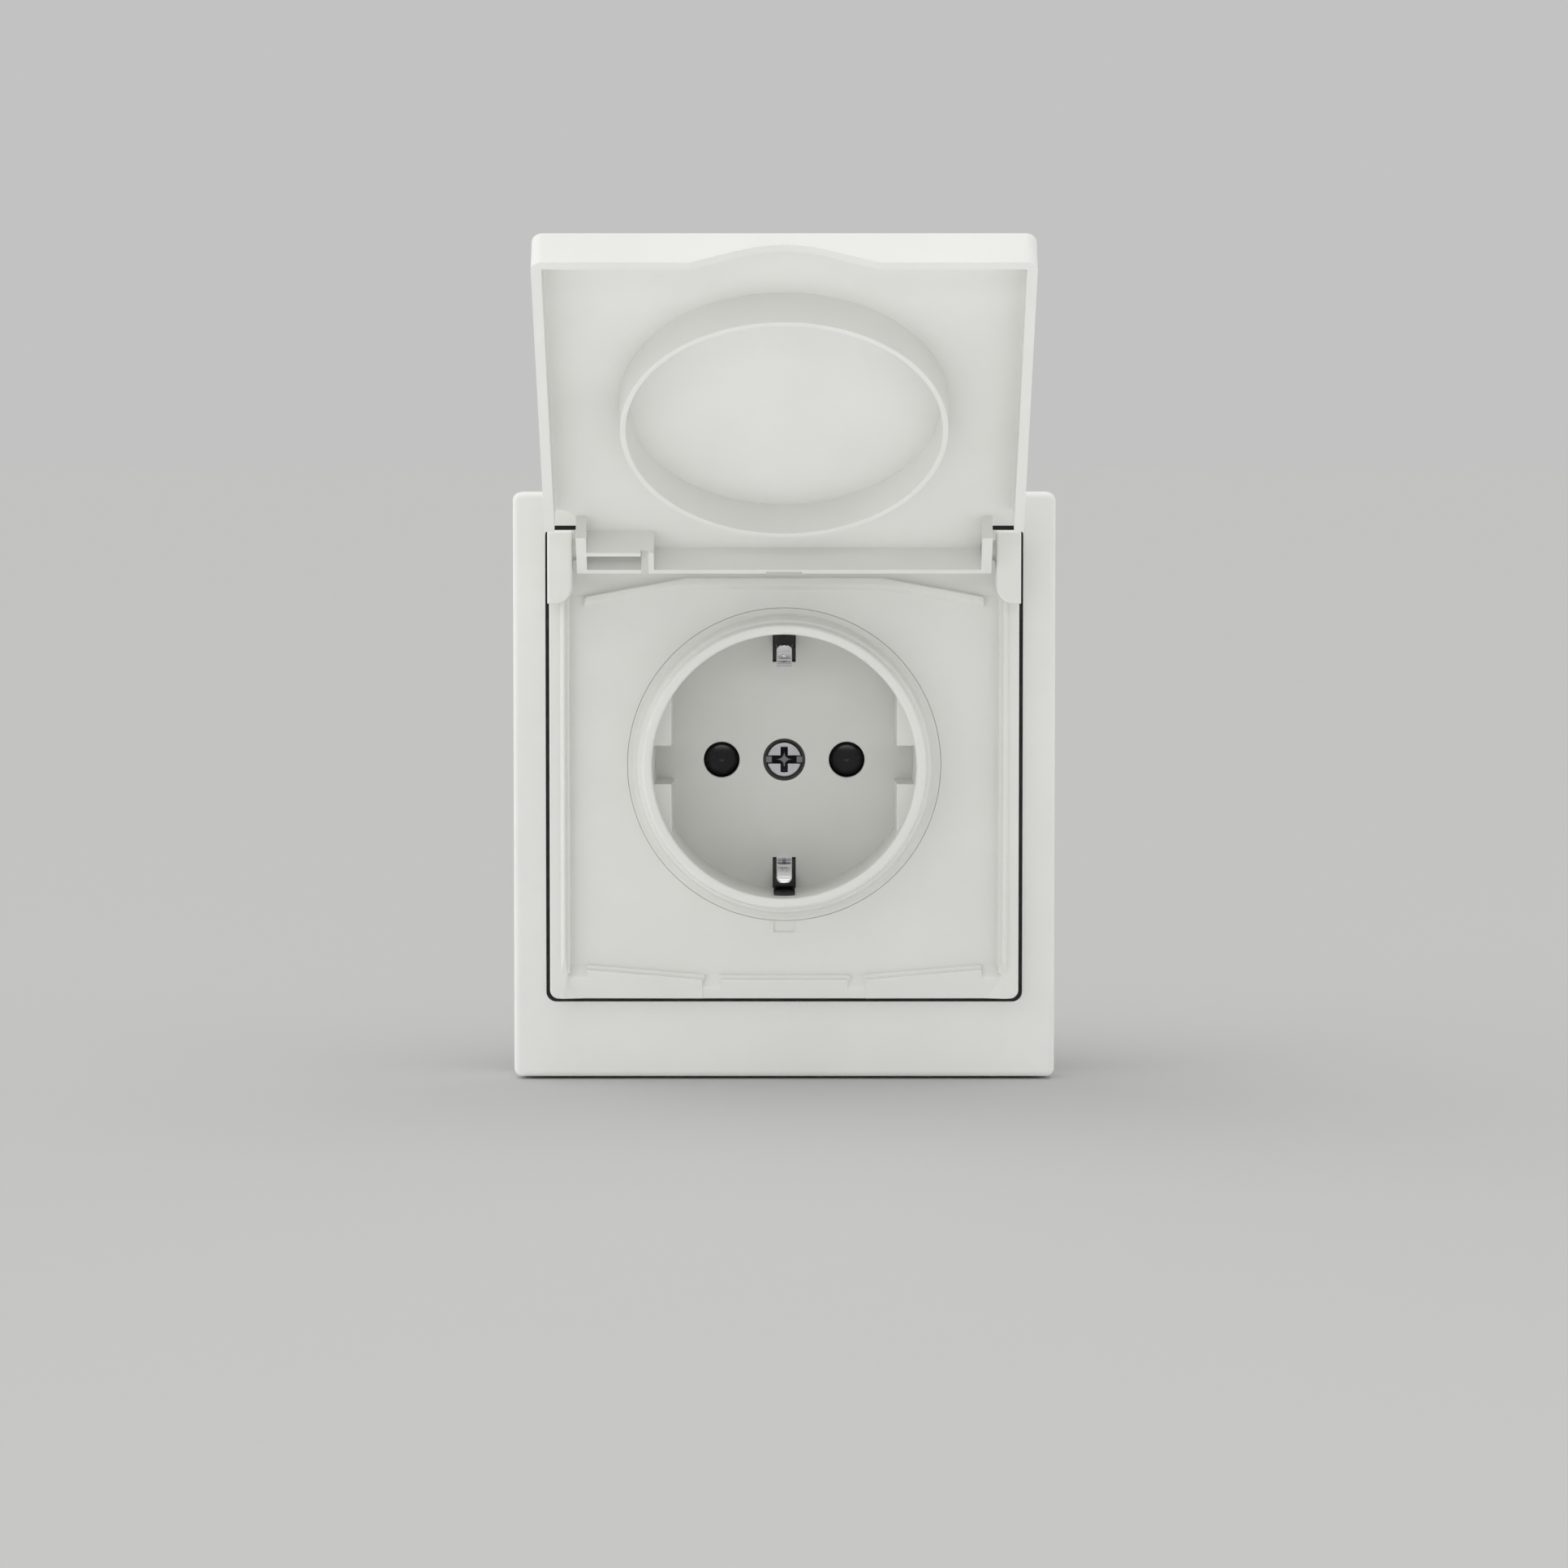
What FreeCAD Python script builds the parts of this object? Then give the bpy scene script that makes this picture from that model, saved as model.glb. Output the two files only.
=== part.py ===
"""A flush-mounted outdoor socket with a hinged splash lid, in millimetres.

The origin is the middle of the socket on the wall plane. X runs to the right, Z up and Y into
the wall, so whatever stands off the wall has a negative Y. The lid is modelled shut, where its
fits are easy to see, and is then turned open about its hinge, which is how the part rests.
"""
import FreeCAD, Part
import math
import os
from FreeCAD import Vector

# Support ring on the wall box, from which the square pieces are sized outwards
box_screw_pitch = 60.0
box_slot_r = 1.7
box_slot_length = 6.4
ring_edge = 1.3
ring_corner_r = 4.0
ring_thick = 1.0

# Outer frame
ring_seal_gap = 1.9
frame_wall = 1.8
frame_side = 4.85
frame_top = 4.95
frame_bottom = 11.35
frame_proud = 10.5
frame_back = 0.5
frame_front_wall = 2.0
frame_corner_r = 1.2
frame_edge_r = 0.9
opening_corner_r = 1.5
sleeve_wall = 1.2
frame_ledge_width = 2.2
frame_ledge_depth = 5.5
frame_ledge_thick = 1.0
channel_web = 1.0
channel_rib = 1.0
frame_rib_thick = 1.2
frame_rib_pitch = 22.0

# Seals
seal_width = 2.4
seal_height = 3.0
seal_gap = 0.05
insert_seal_depth = 0.7

# Cover plate
insert_gap = 0.65
insert_corner_r = 1.3
insert_edge_r = 0.25
ledge_proud = 2.0
field_proud = 0.5
plate_thick = 1.8
rail_width = 3.0
crest_height = 0.6
crest_inset = 1.6
crest_flat = 0.4
rail_foot_r = 0.35
rail_low_end = 3.8
rail_end_slope = 1.8
skirt_wall = 1.3
skirt_gap = 0.2
hub_rib_thick = 1.0
hub_rib_count = 8

# Ridge and recess under the hinge
recess_depth = 1.0
recess_half = 18.0
ridge_half = 14.7
ridge_margin = 5.2
ridge_drop = 7.2
ridge_fall = 2.75
ridge_height = 0.9
ridge_width = 1.0
ridge_foot = 0.7
ridge_end_r = 0.5
ridge_r = 0.28

# Drain ribs along the plate's lower edge
drain_rib_half = 9.8
drain_gap = 2.2
drain_side = 0.45
drain_margin = 5.6
drain_rise = 3.4
drain_slope = 1.55
drain_step = 0.7
drain_rib_height = 1.35
drain_rib_drop = 0.6
drain_rib_inset = 0.35
drain_flat = 0.25
drain_foot = 0.15
drain_round = 0.25
drain_corner_r = 0.6
drain_lip = 0.6
drain_ramp = 1.9
drain_ramp_r = 1.2
corner_slope = 3.05
pry_notch_half = 1.6
pry_notch_height = 1.7
pry_notch_depth = 0.2

# Hinge lugs and pins
lug_width = 3.7
lug_height = 10.75
lug_edge_r = 0.4
lug_top_r = 0.4
lug_foot_r = 2.6
hinge_drop = 2.9
hinge_depth = 2.35
pin_r = 1.5
pin_running_gap = 0.05
pin_seat_gap = 0.01
pin_in_lug = 3.2
pin_end_gap = 0.1
ear_gap = 0.7

# Socket cup
cup_proud = 6.2
cup_depth = 17.5
cup_mouth_r = 19.7
cup_draft = 0.15
cup_floor = 1.2
cup_wall = 1.65
cup_skirt = 1.0
rim_width = 1.4
rim_round = 0.4
collar_taper = 0.3
collar_step = 0.45
collar_step_depth = 2.2
collar_spread = 0.55
collar_foot = 1.1
collar_round = 0.45
flange_thick = 1.0
seam_gap = 0.06
guide_reach = 2.9
guide_draft = 0.22
guide_setback = 4.5
guide_notch_half = 2.9
pin_spacing = 19.0
pin_hole_r = 2.72
pin_hole_lead = 0.12
screw_recess_r = 3.22
screw_recess_depth = 1.6
boss_wall = 1.0
boss_r = 3.2
earth_slot_half = 1.75
earth_slot_reach = 2.15
earth_groove_half = 1.6
earth_groove_depth = 0.9
earth_groove_setback = 4.7
groove_liner_gap = 0.12
groove_liner_thick = 0.5
clip_guide_gap = 0.1
clip_guide_thick = 0.4
clip_room_depth = 9.0

# Lid
lid_overhang = 0.1
lid_end_gap = 0.4
lid_floor_gap = 0.4
lid_skin = 1.55
lid_wall = 1.45
lid_corner_r = 1.6
lid_edge_r = 0.7
lid_wall_foot_r = 0.4
lid_rest_gap = 0.3
lid_open_deg = 130.9
lid_ring_gap = 0.35
lid_ring_rim = 0.8
lid_ring_draft = 0.2
lid_ring_rest = 0.62
lid_ring_round = 0.12
lid_notch_reach = 8.45
lid_notch_r = 2.8
grip_half = 13.2
grip_slope_deg = 18.0
grip_top_r = 19.3
grip_foot_r = 1.5
hinge_wall_thick = 0.8
hinge_wall_inner_u = -0.35
ear_thick = 1.5
ear_reach = 7.0
ear_eye_r = 2.85
pocket_outer_u = 3.6
pocket_width = 9.9
pocket_divider = 0.8
pocket_slot = 1.1
pocket_slot_depth = 1.0
spring_slot_depth = 4.0
thumb_notch_half = 2.7
thumb_notch_depth = 0.5

# Base and its cover
base_gap = 0.4
base_wall = 3.3
base_length = 16.6
base_flat_inset = 2.5
base_flat_start = 1.6
base_cover_thick = 2.0
base_cover_inset = 0.4
collar_fit = 0.5
cavity_gap = 0.4
cavity_depth = 3.2
contact_wall = 1.0
pin_entry_r = 2.9
fit_gap = 0.3
slip_gap = 0.05
rivet_r = 1.0
rivet_head_r = 1.45
rivet_head = 0.8
rivet_depth = 3.0
cover_rivet_inset = 5.0
cover_rivet_z = -4.0
cover_rivet_depth = 6.0

# Centre screw
screw_head_r = 2.75
screw_head_top = 0.25
screw_head_chamfer = 0.3
screw_seal_thick = 0.4
screw_seal_gap = 0.06
screw_shank_r = 1.6
screw_length = 12.0
screw_slot_width = 1.1
screw_slot_depth = 0.45
screw_cross_half = 1.9
screw_cross_width = 1.05
screw_cross_depth = 0.8

# Shutter and its spring
shutter_gap = 0.3
shutter_hub_wall = 2.2
shutter_wing_r = 3.7
shutter_dome = 0.7
shutter_arm_half = 1.8
shutter_arm_thick = 0.9
stop_post_r = 0.9
stop_post_offset = 0.5
stop_post_deg = 30.5
spring_offset = 0.55
spring_wire_r = 0.16
spring_turns = 2
spring_pitch = 0.42

# Contacts, clamps and earth strap
leaf_thick = 0.7
leaf_half_width = 2.6
leaf_back_half = 2.6
leaf_pinch_half = 2.1
leaf_mouth_half = 2.9
leaf_start = 0.5
leaf_end = 2.6
tail_half_width = 2.0
clamp_half = 3.0
clamp_start = 2.2
clamp_offset = 7.5
clamp_z = 9.0
earth_clamp_x = 9.0
earth_clamp_z = -15.0
wire_hole_r = 1.5
clamp_screw_r = 1.6
clamp_screw_head_r = 2.1
clamp_screw_head = 1.6
clamp_screw_slot = 0.8
clamp_screw_gap = 0.4
driver_hole_r = 2.4
strap_thick = 0.6
strap_half_width = 1.15
strap_bar_half_width = 2.5
strap_setback = 2.55
strap_end_r = 1.1
strap_tab_width = 1.5
clip_tip_y = 5.8
clip_tip_out = 0.9
clip_apex_y = 10.5
clip_apex_in = 2.6
clip_neck_y = 14.9
clip_neck_in = 0.1

far = 200.0

# Places worked out from the dimensions above
ring_half = box_screw_pitch / 2 + box_slot_length / 2 + ring_edge
frame_half_width = ring_half + ring_seal_gap + seal_width + frame_wall
opening_half = frame_half_width - frame_side
frame_above = opening_half + frame_top
frame_below = opening_half + frame_bottom
frame_front_y = -frame_proud
frame_ledge_y = frame_front_y + frame_ledge_depth
insert_half = opening_half - insert_gap
rail_foot_half = insert_half - rail_width
ledge_y = frame_front_y - ledge_proud
field_y = frame_front_y - field_proud
plate_back = field_y + plate_thick
recess_y = field_y + recess_depth
ridge_z = insert_half - ridge_drop
ridge_end_z = ridge_z - ridge_fall
ridge_end_half = insert_half - ridge_margin
drain_rib_z = drain_rise - insert_half
drain_end_z = drain_rib_z + drain_slope
drain_end_half = insert_half - drain_margin
drain_start = drain_rib_half + drain_gap
drain_lip_y = field_y - drain_lip
rail_low_z = rail_low_end - insert_half
cup_rim_y = frame_front_y - cup_proud
cup_floor_y = cup_rim_y + cup_depth
cup_back = cup_floor_y + cup_floor
cup_skirt_back = cup_back + cup_skirt
cup_foot_r = cup_mouth_r - cup_draft
cup_wall_r = cup_foot_r + cup_wall
rim_outer_r = cup_mouth_r + rim_width
collar_step_r = rim_outer_r + collar_taper + collar_step
collar_step_y = cup_rim_y + collar_step_depth
collar_foot_r = collar_step_r + collar_spread
flange_r = collar_foot_r + collar_foot
guide_face_x = cup_foot_r - guide_reach
wide_boss_r = screw_recess_r + boss_wall
lid_rim_y = ledge_y - lid_rest_gap
lid_floor_y = cup_rim_y - lid_floor_gap
lid_skin_y = lid_floor_y - lid_skin
lid_half_width = insert_half + lid_overhang
hinge_z = insert_half - hinge_drop
hinge_y = lid_skin_y + hinge_depth
lid_low_z = lid_end_gap - insert_half
lid_ring_inner_r = collar_foot_r + lid_ring_gap
lug_inner_half = insert_half - lug_width
lug_foot_z = insert_half - lug_height
ear_outer_half = lug_inner_half - ear_gap
base_front = cup_skirt_back + base_gap
base_back = base_front + base_length
cover_back = base_back + base_cover_thick
base_collar_inner_r = cup_wall_r + collar_fit
base_r = base_collar_inner_r + base_wall
base_flat_half = base_r - base_flat_inset
ring_hole_r = base_collar_inner_r + 2 * slip_gap
rivet_circle_r = base_collar_inner_r + base_wall / 2
cover_rivet_x = base_r - cover_rivet_inset
cavity_r = pin_spacing / 2 + shutter_wing_r + cavity_gap
cavity_back = base_front + cavity_depth
shutter_front = cup_back + shutter_gap
shutter_back = cavity_back - shutter_gap
shutter_hub_front = cup_skirt_back + shutter_gap
shutter_hub_r = boss_r + shutter_hub_wall
spring_r = shutter_hub_r + spring_offset
stop_post_circle = pin_spacing / 2 + stop_post_offset
leaf_front = cavity_back + contact_wall + leaf_start
leaf_back = base_back - leaf_end
tail_front = leaf_back - leaf_thick / 2
tail_back = leaf_back + leaf_thick / 2
clamp_front = cavity_back + clamp_start
clamp_x = pin_spacing / 2 + clamp_offset
wire_y = (clamp_front + tail_front) / 2
strap_leg_z = cup_foot_r - strap_setback
earth_slot_inner = strap_leg_z - earth_slot_reach
groove_top_z = cup_foot_r + earth_groove_depth
groove_front_y = cup_rim_y + earth_groove_setback


def block(xs, ys, zs):
    """A box between three pairs of limits."""
    low = Vector(min(xs), min(ys), min(zs))
    return Part.makeBox(abs(xs[1] - xs[0]), abs(ys[1] - ys[0]), abs(zs[1] - zs[0]), low)


def disc(radius, y_front, y_back, x=0.0, z=0.0):
    """A round bar along Y."""
    return Part.makeCylinder(radius, y_back - y_front, Vector(x, y_front, z), Vector(0, 1, 0))


def bar_x(radius, x_low, x_high, y, z):
    """A round bar along X."""
    return Part.makeCylinder(radius, x_high - x_low, Vector(x_low, y, z), Vector(1, 0, 0))


def tube(outer_r, inner_r, y_front, y_back):
    """A round wall about the socket's axis."""
    return disc(outer_r, y_front, y_back).cut(disc(inner_r, y_front, y_back))


def face_of(points, place):
    """A flat face inside a closed outline, put in space by place(). A third value rounds a corner."""
    count = len(points)
    corners = [corner_points(points[i - 1], points[i], points[(i + 1) % count]) for i in range(count)]
    edges = []
    for i, here in enumerate(corners):
        spots = [place(p.x, p.y) for p in here]
        if len(spots) == 3:
            edges.append(Part.Arc(*spots).toShape())
        following = place(corners[(i + 1) % count][0].x, corners[(i + 1) % count][0].y)
        if spots[-1].distanceToPoint(following) > 1e-6:
            edges.append(Part.makeLine(spots[-1], following))
    return Part.Face(Part.Wire(edges))


def turned(profile):
    """A solid of revolution about the socket's axis, from (radius, y) points."""
    face = face_of(profile, lambda r, y: Vector(r, y, 0))
    return face.revolve(Vector(0, 0, 0), Vector(0, 1, 0), 360)


def along_x(profile, start_x, run):
    """A bar whose (y, z) section starts at start_x and is carried along the vector run."""
    return face_of(profile, lambda y, z: Vector(start_x, y, z)).extrude(run)


def along_z(profile, z_low, z_high):
    """A bar along Z with an (x, y) section."""
    return face_of(profile, lambda x, y: Vector(x, y, z_low)).extrude(Vector(0, 0, z_high - z_low))


def along_y(outline, y_front, y_back):
    """A plate along Y with an (x, z) outline."""
    return face_of(outline, lambda x, z: Vector(x, y_front, z)).extrude(Vector(0, y_back - y_front, 0))


def mirror_x(shape):
    """The same shape on the other side of the middle."""
    return shape.mirror(Vector(0, 0, 0), Vector(1, 0, 0))


def mirror_z(shape):
    """The same shape above or below the middle."""
    return shape.mirror(Vector(0, 0, 0), Vector(0, 0, 1))


def both_sides(shape):
    """A shape and its mirror image, fused."""
    return shape.fuse(mirror_x(shape))


def edges_along(shape, axis):
    """The straight edges that run along one axis, named x, y or z."""
    return [e for e in shape.Edges if e.Curve.TypeId == "Part::GeomLine"
            and abs(getattr(e.tangentAt(e.FirstParameter), axis)) > 0.999]


def edges_at(shape, y):
    """The edges that lie in the plane at one depth."""
    return [e for e in shape.Edges
            if abs(e.BoundBox.YMin - y) < 1e-4 and abs(e.BoundBox.YMax - y) < 1e-4]


def slab(half, z_low, z_high, corner_r, y_front, y_back):
    """A plate on the wall, a rectangle with rounded corners seen from the front."""
    plain = block((-half, half), (y_front, y_back), (z_low, z_high))
    return plain.makeFillet(corner_r, edges_along(plain, "y"))


def square_slab(half, corner_r, y_front, y_back):
    """A square plate about the socket's axis."""
    return slab(half, -half, half, corner_r, y_front, y_back)


def strip(points, thick):
    """The outline of a bent strip of even thickness whose middle follows the points."""
    sides = ([], [])
    for i, (a, b) in enumerate(points):
        before = points[max(i - 1, 0)]
        after = points[min(i + 1, len(points) - 1)]
        turns = []
        for p, q in ((before, (a, b)), ((a, b), after)):
            length = math.hypot(q[0] - p[0], q[1] - p[1])
            if length > 0:
                turns.append(((p[1] - q[1]) / length, (q[0] - p[0]) / length))
        n = [sum(t[k] for t in turns) / len(turns) for k in (0, 1)]
        reach = thick / 2 / (n[0] ** 2 + n[1] ** 2)
        sides[0].append((a + n[0] * reach, b + n[1] * reach))
        sides[1].append((a - n[0] * reach, b - n[1] * reach))
    return sides[0] + sides[1][::-1]


def corner_points(before, corner, after):
    """Where an outline passes one corner: a single point, or three on the arc that rounds it."""
    here = Vector(corner[0], corner[1], 0)
    if len(corner) < 3:
        return [here]
    back = (Vector(before[0], before[1], 0) - here).normalize()
    onward = (Vector(after[0], after[1], 0) - here).normalize()
    half_angle = back.getAngle(onward) / 2
    reach = corner[2] / math.tan(half_angle)
    inward = (back + onward).normalize()
    middle = here + inward * (corner[2] / math.sin(half_angle) - corner[2])
    return [here + back * reach, middle, here + onward * reach]


def make_insert_seal():
    """The rubber ring that fills the gap between the frame's opening and the cover plate."""
    front = frame_front_y + insert_seal_depth
    ring = square_slab(opening_half - seal_gap, opening_corner_r - seal_gap, front, frame_ledge_y)
    return ring.cut(square_slab(insert_half + seal_gap, insert_corner_r + seal_gap, front, frame_ledge_y))


def hinge_recess():
    """The hollow above the ridge: deep in the middle, and rising to the field at the rails."""
    top = insert_half + 1
    side = rail_foot_half - rail_foot_r
    half = [(ridge_half, ridge_z), (ridge_end_half, ridge_end_z), (side, ridge_end_z), (side, top)]
    above_ridge = along_y([(-x, z) for x, z in half[::-1]] + half, -far, far)
    floor = [(side, -far), (side, field_y), (recess_half, recess_y)]
    return above_ridge.common(along_z(floor + [(-x, y) for x, y in floor[::-1]], 0, top))


def drain_pad(xs, tops, rib_y, drop):
    """One level of a drain rib between two places, which falls back from its top to the plate's edge."""
    x_low, x_high = xs[0] - drain_side, xs[1] + drain_side
    z_low, z_high = [z - drop for z in tops]
    bottom = -insert_half - 1.0
    reach = bottom - max(z_low, z_high)
    profile = [(plate_back, drain_foot), (field_y, drain_foot), (rib_y, 0, drain_round), (rib_y, -drain_flat),
               (drain_lip_y, reach), (plate_back, reach)]
    bar = along_x([(p[0], p[1] + z_low) + p[2:] for p in profile], x_low,
                  Vector(x_high - x_low, 0, z_high - z_low))
    outline = [(x_low, z_low + drain_foot, drain_corner_r), (x_high, z_high + drain_foot, drain_corner_r),
               (x_high, bottom), (x_low, bottom)]
    flanks = [(x_low, plate_back), (x_low, field_y), (xs[0], rib_y, drain_round), (xs[0] + drain_round, -far),
              (xs[1] - drain_round, -far), (xs[1], rib_y, drain_round), (x_high, field_y),
              (x_high, plate_back)]
    return bar.common(along_y(outline, -far, far)).common(along_z(flanks, -far, far))


def drain_band(x_low, x_high, top_z):
    """The band that joins the ribs and the rails, which rises gently from the field."""
    bottom = -insert_half - 1.0
    crest_z = top_z - drain_rib_drop - drain_flat
    bend_z = top_z - drain_ramp
    share = (crest_z - bend_z) / (crest_z - bottom)
    bend_y = field_y - drain_rib_height + share * (drain_rib_height - drain_lip)
    profile = [(plate_back, top_z), (field_y, top_z), (bend_y, bend_z, drain_ramp_r), (drain_lip_y, bottom),
               (plate_back, bottom)]
    return along_x(profile, x_low, Vector(x_high - x_low, 0, 0))


def clip_rooms():
    """The dark rooms behind the earth slots, in which the sprung clips can bend."""
    half = earth_slot_half
    room = block((-half, half), (base_front - 1, base_front + clip_room_depth),
                 (strap_leg_z - strap_thick, cup_foot_r - fit_gap))
    return [room, mirror_z(room)]


def clip_guides():
    """The thin walls round each clip: one on either side, and a liner in the groove behind it."""
    inner = strap_half_width + clip_guide_gap
    liner_top = groove_top_z - groove_liner_gap
    liner_foot = liner_top - groove_liner_thick
    guide = block((inner, inner + clip_guide_thick), (cup_floor_y + clip_guide_gap, base_front + 0.1),
                  (earth_slot_inner + fit_gap, liner_foot + groove_liner_thick / 2))
    half = earth_groove_half - groove_liner_gap
    liner = block((-half, half), (groove_front_y + groove_liner_gap, base_front + 0.1),
                  (liner_foot, liner_top))
    guides = both_sides(guide).fuse(liner.common(disc(liner_top, -far, far)))
    return guides.fuse(mirror_z(guides))


def make_screw_seal():
    """The rubber washer under the centre screw's head, which keeps water out of the base."""
    back = cup_floor_y + screw_recess_depth
    outer = screw_recess_r - screw_seal_gap
    return tube(outer, screw_shank_r + screw_seal_gap, back - screw_seal_thick, back)


def frame_slab(inset, corner_r, y_front, y_back):
    """A plate of the frame's outline, drawn in by an inset on every side."""
    return slab(frame_half_width - inset, inset - frame_below, frame_above - inset,
                corner_r, y_front, y_back)


def make_frame():
    """The outer frame: a shell with a sleeve round its opening and a channel for the wall seal."""
    shell = frame_slab(0, frame_corner_r, frame_front_y, -frame_back)
    shell = shell.makeFillet(frame_edge_r, edges_at(shell, frame_front_y))
    front_back = frame_front_y + frame_front_wall
    shell = shell.cut(frame_slab(frame_wall, frame_corner_r / 2, front_back, far))
    web_front = -seal_height - channel_web
    inner = frame_wall + seal_width + channel_rib
    channel = frame_slab(frame_wall, frame_corner_r / 2, web_front, -frame_back)
    channel = channel.cut(frame_slab(inner, frame_corner_r / 2, web_front, far))
    groove = frame_slab(frame_wall, frame_corner_r / 2, -seal_height, far)
    groove = groove.cut(frame_slab(frame_wall + seal_width, frame_corner_r / 2, -seal_height, far))
    sleeve = square_slab(opening_half + sleeve_wall, opening_corner_r + sleeve_wall,
                         front_back, frame_ledge_y + frame_ledge_thick)
    rib_top = -opening_half
    ribs = []
    for x in (-frame_rib_pitch, 0, frame_rib_pitch):
        ribs.append(block((x - frame_rib_thick / 2, x + frame_rib_thick / 2),
                          (front_back, web_front), (frame_wall - frame_below, rib_top)))
    solid = shell.fuse([channel.cut(groove), sleeve] + ribs)
    solid = solid.cut(square_slab(opening_half, opening_corner_r, -far, frame_ledge_y))
    through = square_slab(opening_half - frame_ledge_width, opening_corner_r, frame_ledge_y, far)
    return solid.cut(through)


def make_wall_seal():
    """The rubber ring in the frame's channel, which meets the wall."""
    outer = frame_wall + seal_gap
    ring = frame_slab(outer, frame_corner_r / 2, -seal_height, 0)
    return ring.cut(frame_slab(frame_wall + seal_width - seal_gap, frame_corner_r / 2, -seal_height, 0))


def make_rails():
    """The raised crest along each side ledge, which stands inside the shut lid's wall."""
    crest_outer = insert_half - crest_inset
    crest_y = ledge_y - crest_height
    profile = [(crest_outer, plate_back), (crest_outer, ledge_y, 0.3),
               (crest_outer - crest_flat, crest_y, 0.3), (crest_outer - 2 * crest_flat, crest_y, 0.3),
               (rail_foot_half, field_y, rail_foot_r), (rail_foot_half - rail_foot_r, field_y),
               (rail_foot_half - rail_foot_r, plate_back)]
    rails = both_sides(along_z(profile, rail_low_z, lug_foot_z + lug_height / 2))
    low_end = [(ledge_y, rail_low_z), (crest_y, rail_low_z + rail_end_slope),
               (-far, rail_low_z + rail_end_slope), (-far, rail_low_z)]
    return rails.cut(along_x(low_end, -far, Vector(2 * far, 0, 0)))


def make_ridge():
    """The roof-shaped ridge under the hinge, which sends water to the sides."""
    crest_y = field_y - ridge_height
    low = -ridge_width - ridge_foot
    profile = [(plate_back, 0), (crest_y, 0), (crest_y, -ridge_width), (field_y, low), (plate_back, low)]
    above = [(y, z + ridge_z) for y, z in profile]
    middle = along_x(above, -ridge_half, Vector(2 * ridge_half, 0, 0))
    fall = Vector(ridge_end_half - ridge_half, 0, -ridge_fall)
    ridge = middle.fuse(both_sides(along_x(above, ridge_half, fall))).removeSplitter()
    outline = [(-ridge_end_half, ridge_end_z, ridge_end_r), (-ridge_half, ridge_z), (ridge_half, ridge_z),
               (ridge_end_half, ridge_end_z, ridge_end_r), (ridge_end_half, ridge_end_z + low, ridge_end_r),
               (0, ridge_z + low - 1.0), (-ridge_end_half, ridge_end_z + low, ridge_end_r)]
    ridge = ridge.common(along_y(outline, -far, far))
    return ridge.makeFillet(ridge_r, edges_at(ridge, crest_y))


def make_drain_ribs():
    """Three stepped ribs along the bottom, on a band that runs from rail to rail."""
    step_y = field_y - drain_step
    rib_y = field_y - drain_rib_height
    inset = drain_rib_inset
    flat = (drain_rib_z, drain_rib_z)
    sloped = (drain_rib_z, drain_end_z)
    middle = [drain_pad((-drain_rib_half, drain_rib_half), flat, step_y, 0),
              drain_pad((inset - drain_rib_half, drain_rib_half - inset), flat, rib_y, drain_rib_drop)]
    side = [drain_pad((drain_start, drain_end_half), sloped, step_y, 0),
            drain_pad((drain_start + inset, drain_end_half), sloped, rib_y, drain_rib_drop),
            drain_band(drain_rib_half - 1.0, drain_start + 1.0, drain_rib_z),
            drain_band(drain_end_half - 1.0, rail_foot_half + 0.2, drain_end_z)]
    ribs = middle + side + [mirror_x(pad) for pad in side]
    return ribs[0].fuse(ribs[1:]).common(square_slab(insert_half, insert_corner_r, -far, far))


def make_corner_slope():
    """The mitred slope where a side ledge meets the bottom of the plate."""
    outer = insert_half - crest_inset
    high_foot = rail_foot_half + 0.15
    wires = []
    for z, foot_x, top_x in ((rail_low_z, high_foot, rail_foot_half + 0.4),
                             (-insert_half, high_foot - corner_slope, rail_foot_half + 1.0)):
        corners = [(outer, plate_back), (outer, ledge_y), (top_x, ledge_y), (foot_x, drain_lip_y),
                   (foot_x, plate_back)]
        wires.append(Part.makePolygon([Vector(x, y, z) for x, y in corners + corners[:1]]))
    return both_sides(Part.makeLoft(wires, True, True))


def make_lugs():
    """The two hinge lugs at the plate's top corners, flush with the shut lid."""
    outline = [(lug_inner_half, insert_half, lug_top_r), (insert_half, insert_half, lug_top_r),
               (insert_half, lug_foot_z), (lug_inner_half, lug_foot_z, lug_foot_r)]
    lug = along_y(outline, lid_skin_y, frame_front_y + insert_seal_depth / 2)
    lug = lug.makeFillet(lug_edge_r, edges_at(lug, lid_skin_y))
    eye = bar_x(pin_r + pin_seat_gap, lug_inner_half - 1, lug_inner_half + pin_in_lug, hinge_y, hinge_z)
    return both_sides(lug.cut(eye))


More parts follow.
